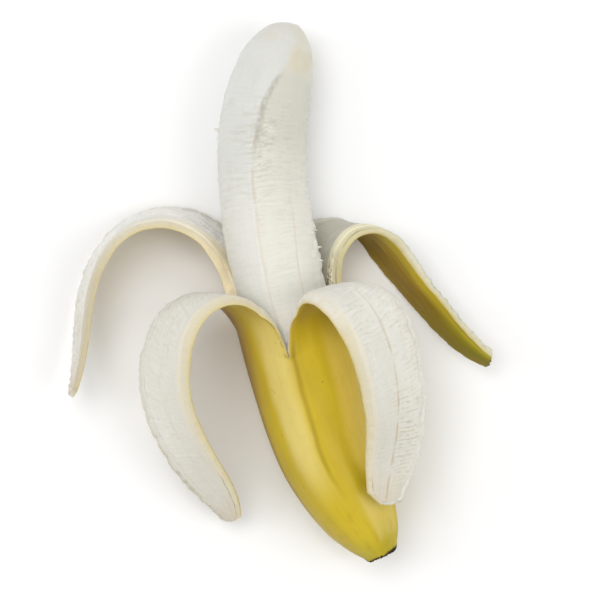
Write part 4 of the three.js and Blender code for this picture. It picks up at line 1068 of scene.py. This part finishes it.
YELLOW, YELLOW_DEEP, YELLOW_PALE, YELLOW_BRIGHT = srgb(200, 175, 38), srgb(190, 164, 28), srgb(226, 208, 134), srgb(220, 194, 50)
YELLOW_PAINTED_LIFT, OLIVE_DARK, OLIVE_PALE = srgb(246, 218, 92), srgb(112, 90, 26), srgb(186, 166, 60)
YELLOW_BROWN, GREEN, GREEN_DEEP, OLIVE, OLIVE_DEEP = srgb(150, 112, 24), srgb(142, 142, 28), srgb(130, 126, 30), srgb(170, 148, 34), srgb(152, 122, 30)
RIDGE, SPECK, BLACK = srgb(130, 98, 20), srgb(92, 60, 22), srgb(34, 26, 20)
PITH_A, PITH_B, PITH_WHITE, PITH_WARM = srgb(217, 215, 204), srgb(223, 221, 212), srgb(234, 233, 228), srgb(216, 208, 194)
PITH_CREAM, PITH_LIT, PUCKER, FRILL, DULL = srgb(224, 218, 200), srgb(255, 250, 236), srgb(184, 172, 148), srgb(188, 184, 120), srgb(186, 174, 146)
OLIVE_LIT, OLIVE_FAR = srgb(206, 186, 58), srgb(112, 94, 44)
BAND, PITH_BARE = srgb(250, 244, 220), srgb(246, 245, 244)
PITH_SHADE, PITH_GREY, TAN, THREAD = srgb(194, 191, 175), srgb(176, 172, 156), srgb(196, 174, 146), srgb(188, 166, 134)
CREAM_DEEP, CREAM, CREAM_PALE, EDGE_YELLOW = srgb(206, 194, 144), srgb(210, 199, 163), srgb(214, 207, 185), srgb(204, 190, 132)
PEACH, STREAK_PAINTED_LIGHT, BRUISE_WARM, BRUISE_DEEP = srgb(214, 194, 154), srgb(255, 240, 204), srgb(236, 200, 142), srgb(128, 98, 58)
FLESH_A, FLESH_B, FLESH_WHITE = srgb(211, 211, 206), srgb(215, 215, 211), srgb(228, 228, 224)
FLESH_LINE, FLESH_STEP, FLESH_LIT = srgb(184, 182, 168), srgb(150, 146, 132), srgb(240, 236, 226)
FLESH_RIGHT, FLESH_SHADE, BEIGE = srgb(212, 211, 198), srgb(194, 193, 181), srgb(208, 197, 166)


# ------------------------------------------------------------------ the object
P, quads, slots, tris, tri_slots, data = build_peel()
P, N = peel_relief(P, quads, tris, data)
peel = make_mesh("banana_peel", P, quads, tris, slots, tri_slots, rest=data["rest"], depth=data["depth"], edge=data["edge"],
                 end=data["end"], across=data["across"], cream=data["cream"])
cut_at_floor(peel, PITH)
for finish in (skin_finish(), pith_finish(), scar_finish()):
    peel.data.materials.append(finish)

FP, fruit_quads, fruit_tris, fruit_data, FN = build_fruit()
fruit = make_mesh("banana_fruit", FP, fruit_quads, fruit_tris, **fruit_data)
fruit.data.materials.append(flesh_finish())

# hairs of pith along the torn edges
torn_row = np.flatnonzero((data["depth"] > 0.55) & (data["edge"] < 0.4) & (data["rest"][:, 2] > 104) & (P[:, 2] > 0.6))
weight = 1.1 - data["cream"][torn_row]
pick = rng.choice(torn_row, 2200, p=weight / weight.sum())
lean = N[pick] + rng.normal(size=(len(pick), 3)) * 0.75
size = 0.35 + 0.75 * rng.random(len(pick)) ** 2.5
hairs = fibres("torn_fibres", P[pick], lean, size, rng.uniform(0.05, 0.10, len(pick)), 5)
hairs.data.materials.append(fibre_finish())

# shreds left on the fruit
on_fruit = np.flatnonzero((fruit_data["rest"][:, 2] > 92) & (fruit_data["rest"][:, 2] < 172))
side = np.abs(np.degrees(np.arctan2(fruit_data["rest"][:, 1], fruit_data["rest"][:, 0])))
weight = 0.04 + smooth((side[on_fruit] - 60) / 25)
pick = rng.choice(on_fruit, 900, p=weight / weight.sum())
lean = FN[pick] * 0.55 + rng.normal(size=(len(pick), 3)) * 0.7
shreds = fibres("fruit_fibres", FP[pick], lean, rng.uniform(0.25, 0.7, len(pick)), rng.uniform(0.05, 0.11, len(pick)), 6)
shreds.data.materials.append(bpy.data.materials["pith_fibre"])

# torn slivers that stand off its sides, at [s, azimuth, length, thickness, lean towards the tip]
SLIVERS = [(154.6, -84, 2.0, 0.45, 0.6), (153.6, -88, 2.4, 0.40, 1.0), (152.6, -86, 1.5, 0.50, -0.3), (160.5, 84, 1.9, 0.40, -0.5), (126.5, 88, 1.9, 0.50, -0.8),
           (118.0, 92, 1.5, 0.45, -0.3), (136.0, 86, 1.2, 0.35, 0.5), (111.0, 84, 1.7, 0.55, 0.2), (106.5, 80, 1.5, 0.5, -0.4)]
where = np.array(SLIVERS)
sC, sT, sA, sB = axis_frame(where[:, 0])
phi_s = where[:, 1] * DEG
out_s = sA * np.cos(phi_s)[:, None] + sB * np.sin(phi_s)[:, None]
base = sC + out_s * (fruit_radius(where[:, 0], phi_s) - 0.15)[:, None]
slivers = fibres("fruit_slivers", base, out_s + sT * where[:, 4:5], where[:, 2], where[:, 3], 9, STEPS=8, SIDES=8)
slivers.data.materials.append(bpy.data.materials["pith_fibre"])

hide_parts("peel")
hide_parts("flesh")
for piece, slot in ((peel, "peel"), (hairs, "peel"), (fruit, "flesh"), (shreds, "flesh"), (slivers, "flesh")):
    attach(piece, "root")

# ------------------------------------------------------------------ the floor, the light and the camera
bpy.ops.mesh.primitive_plane_add(size=4, location=(0, 0, -0.0002))
floor = bpy.context.object
floor.name = "floor"
ground = Finish("floor_white", Specular_IOR_Level=0.1)
place = ground.node("ShaderNodeTexCoord", out=3)
mottle = ground.noise(ground.scale(place, 6, 6, 6), 2)
floor.data.materials.append(ground.done(ground.mix(mottle, (0.90, 0.90, 0.90, 1), (0.92, 0.92, 0.92, 1)), 0.9, ground.bump(mottle, 0.0001, 0.1)))


def softbox(name, place, target, size, power, colour=(1, 1, 1)):
    light = bpy.data.lights.new(name, "AREA")
    light.shape, light.size, light.energy, light.color = "DISK", size, power, colour
    ob = bpy.data.objects.new(name, light)
    ob.location = place
    ob.rotation_euler = (Vector(target) - Vector(place)).to_track_quat("-Z", "Y").to_euler()
    bpy.context.scene.collection.objects.link(ob)


softbox("key", (-0.32, 0.28, 1.30), (0, 0, 0), 0.9, 6.1)
softbox("side", (-0.95, 0.12, 0.82), (0, 0, 0), 0.5, 1.8)
softbox("fill", (0.90, -0.15, 1.05), (0, 0, 0), 0.9, 4.6)
world = bpy.data.worlds.new("studio")
bpy.context.scene.world = world
world.use_nodes = True
world.node_tree.nodes["Background"].inputs[0].default_value = (1.0, 1.0, 1.0, 1)
world.node_tree.nodes["Background"].inputs[1].default_value = 0.66

lens = bpy.data.cameras.new("camera")
lens.sensor_width, lens.lens = 36.0, 36.0 * 980 / 210
lens.clip_start, lens.clip_end = 0.01, 20
camera = bpy.data.objects.new("camera", lens)
camera.location = (0.006954, -0.0028901, 1.0)
bpy.context.scene.collection.objects.link(camera)
bpy.context.scene.camera = camera
bpy.context.scene.view_settings.view_transform = "Standard"
bpy.context.scene.view_settings.look = "None"
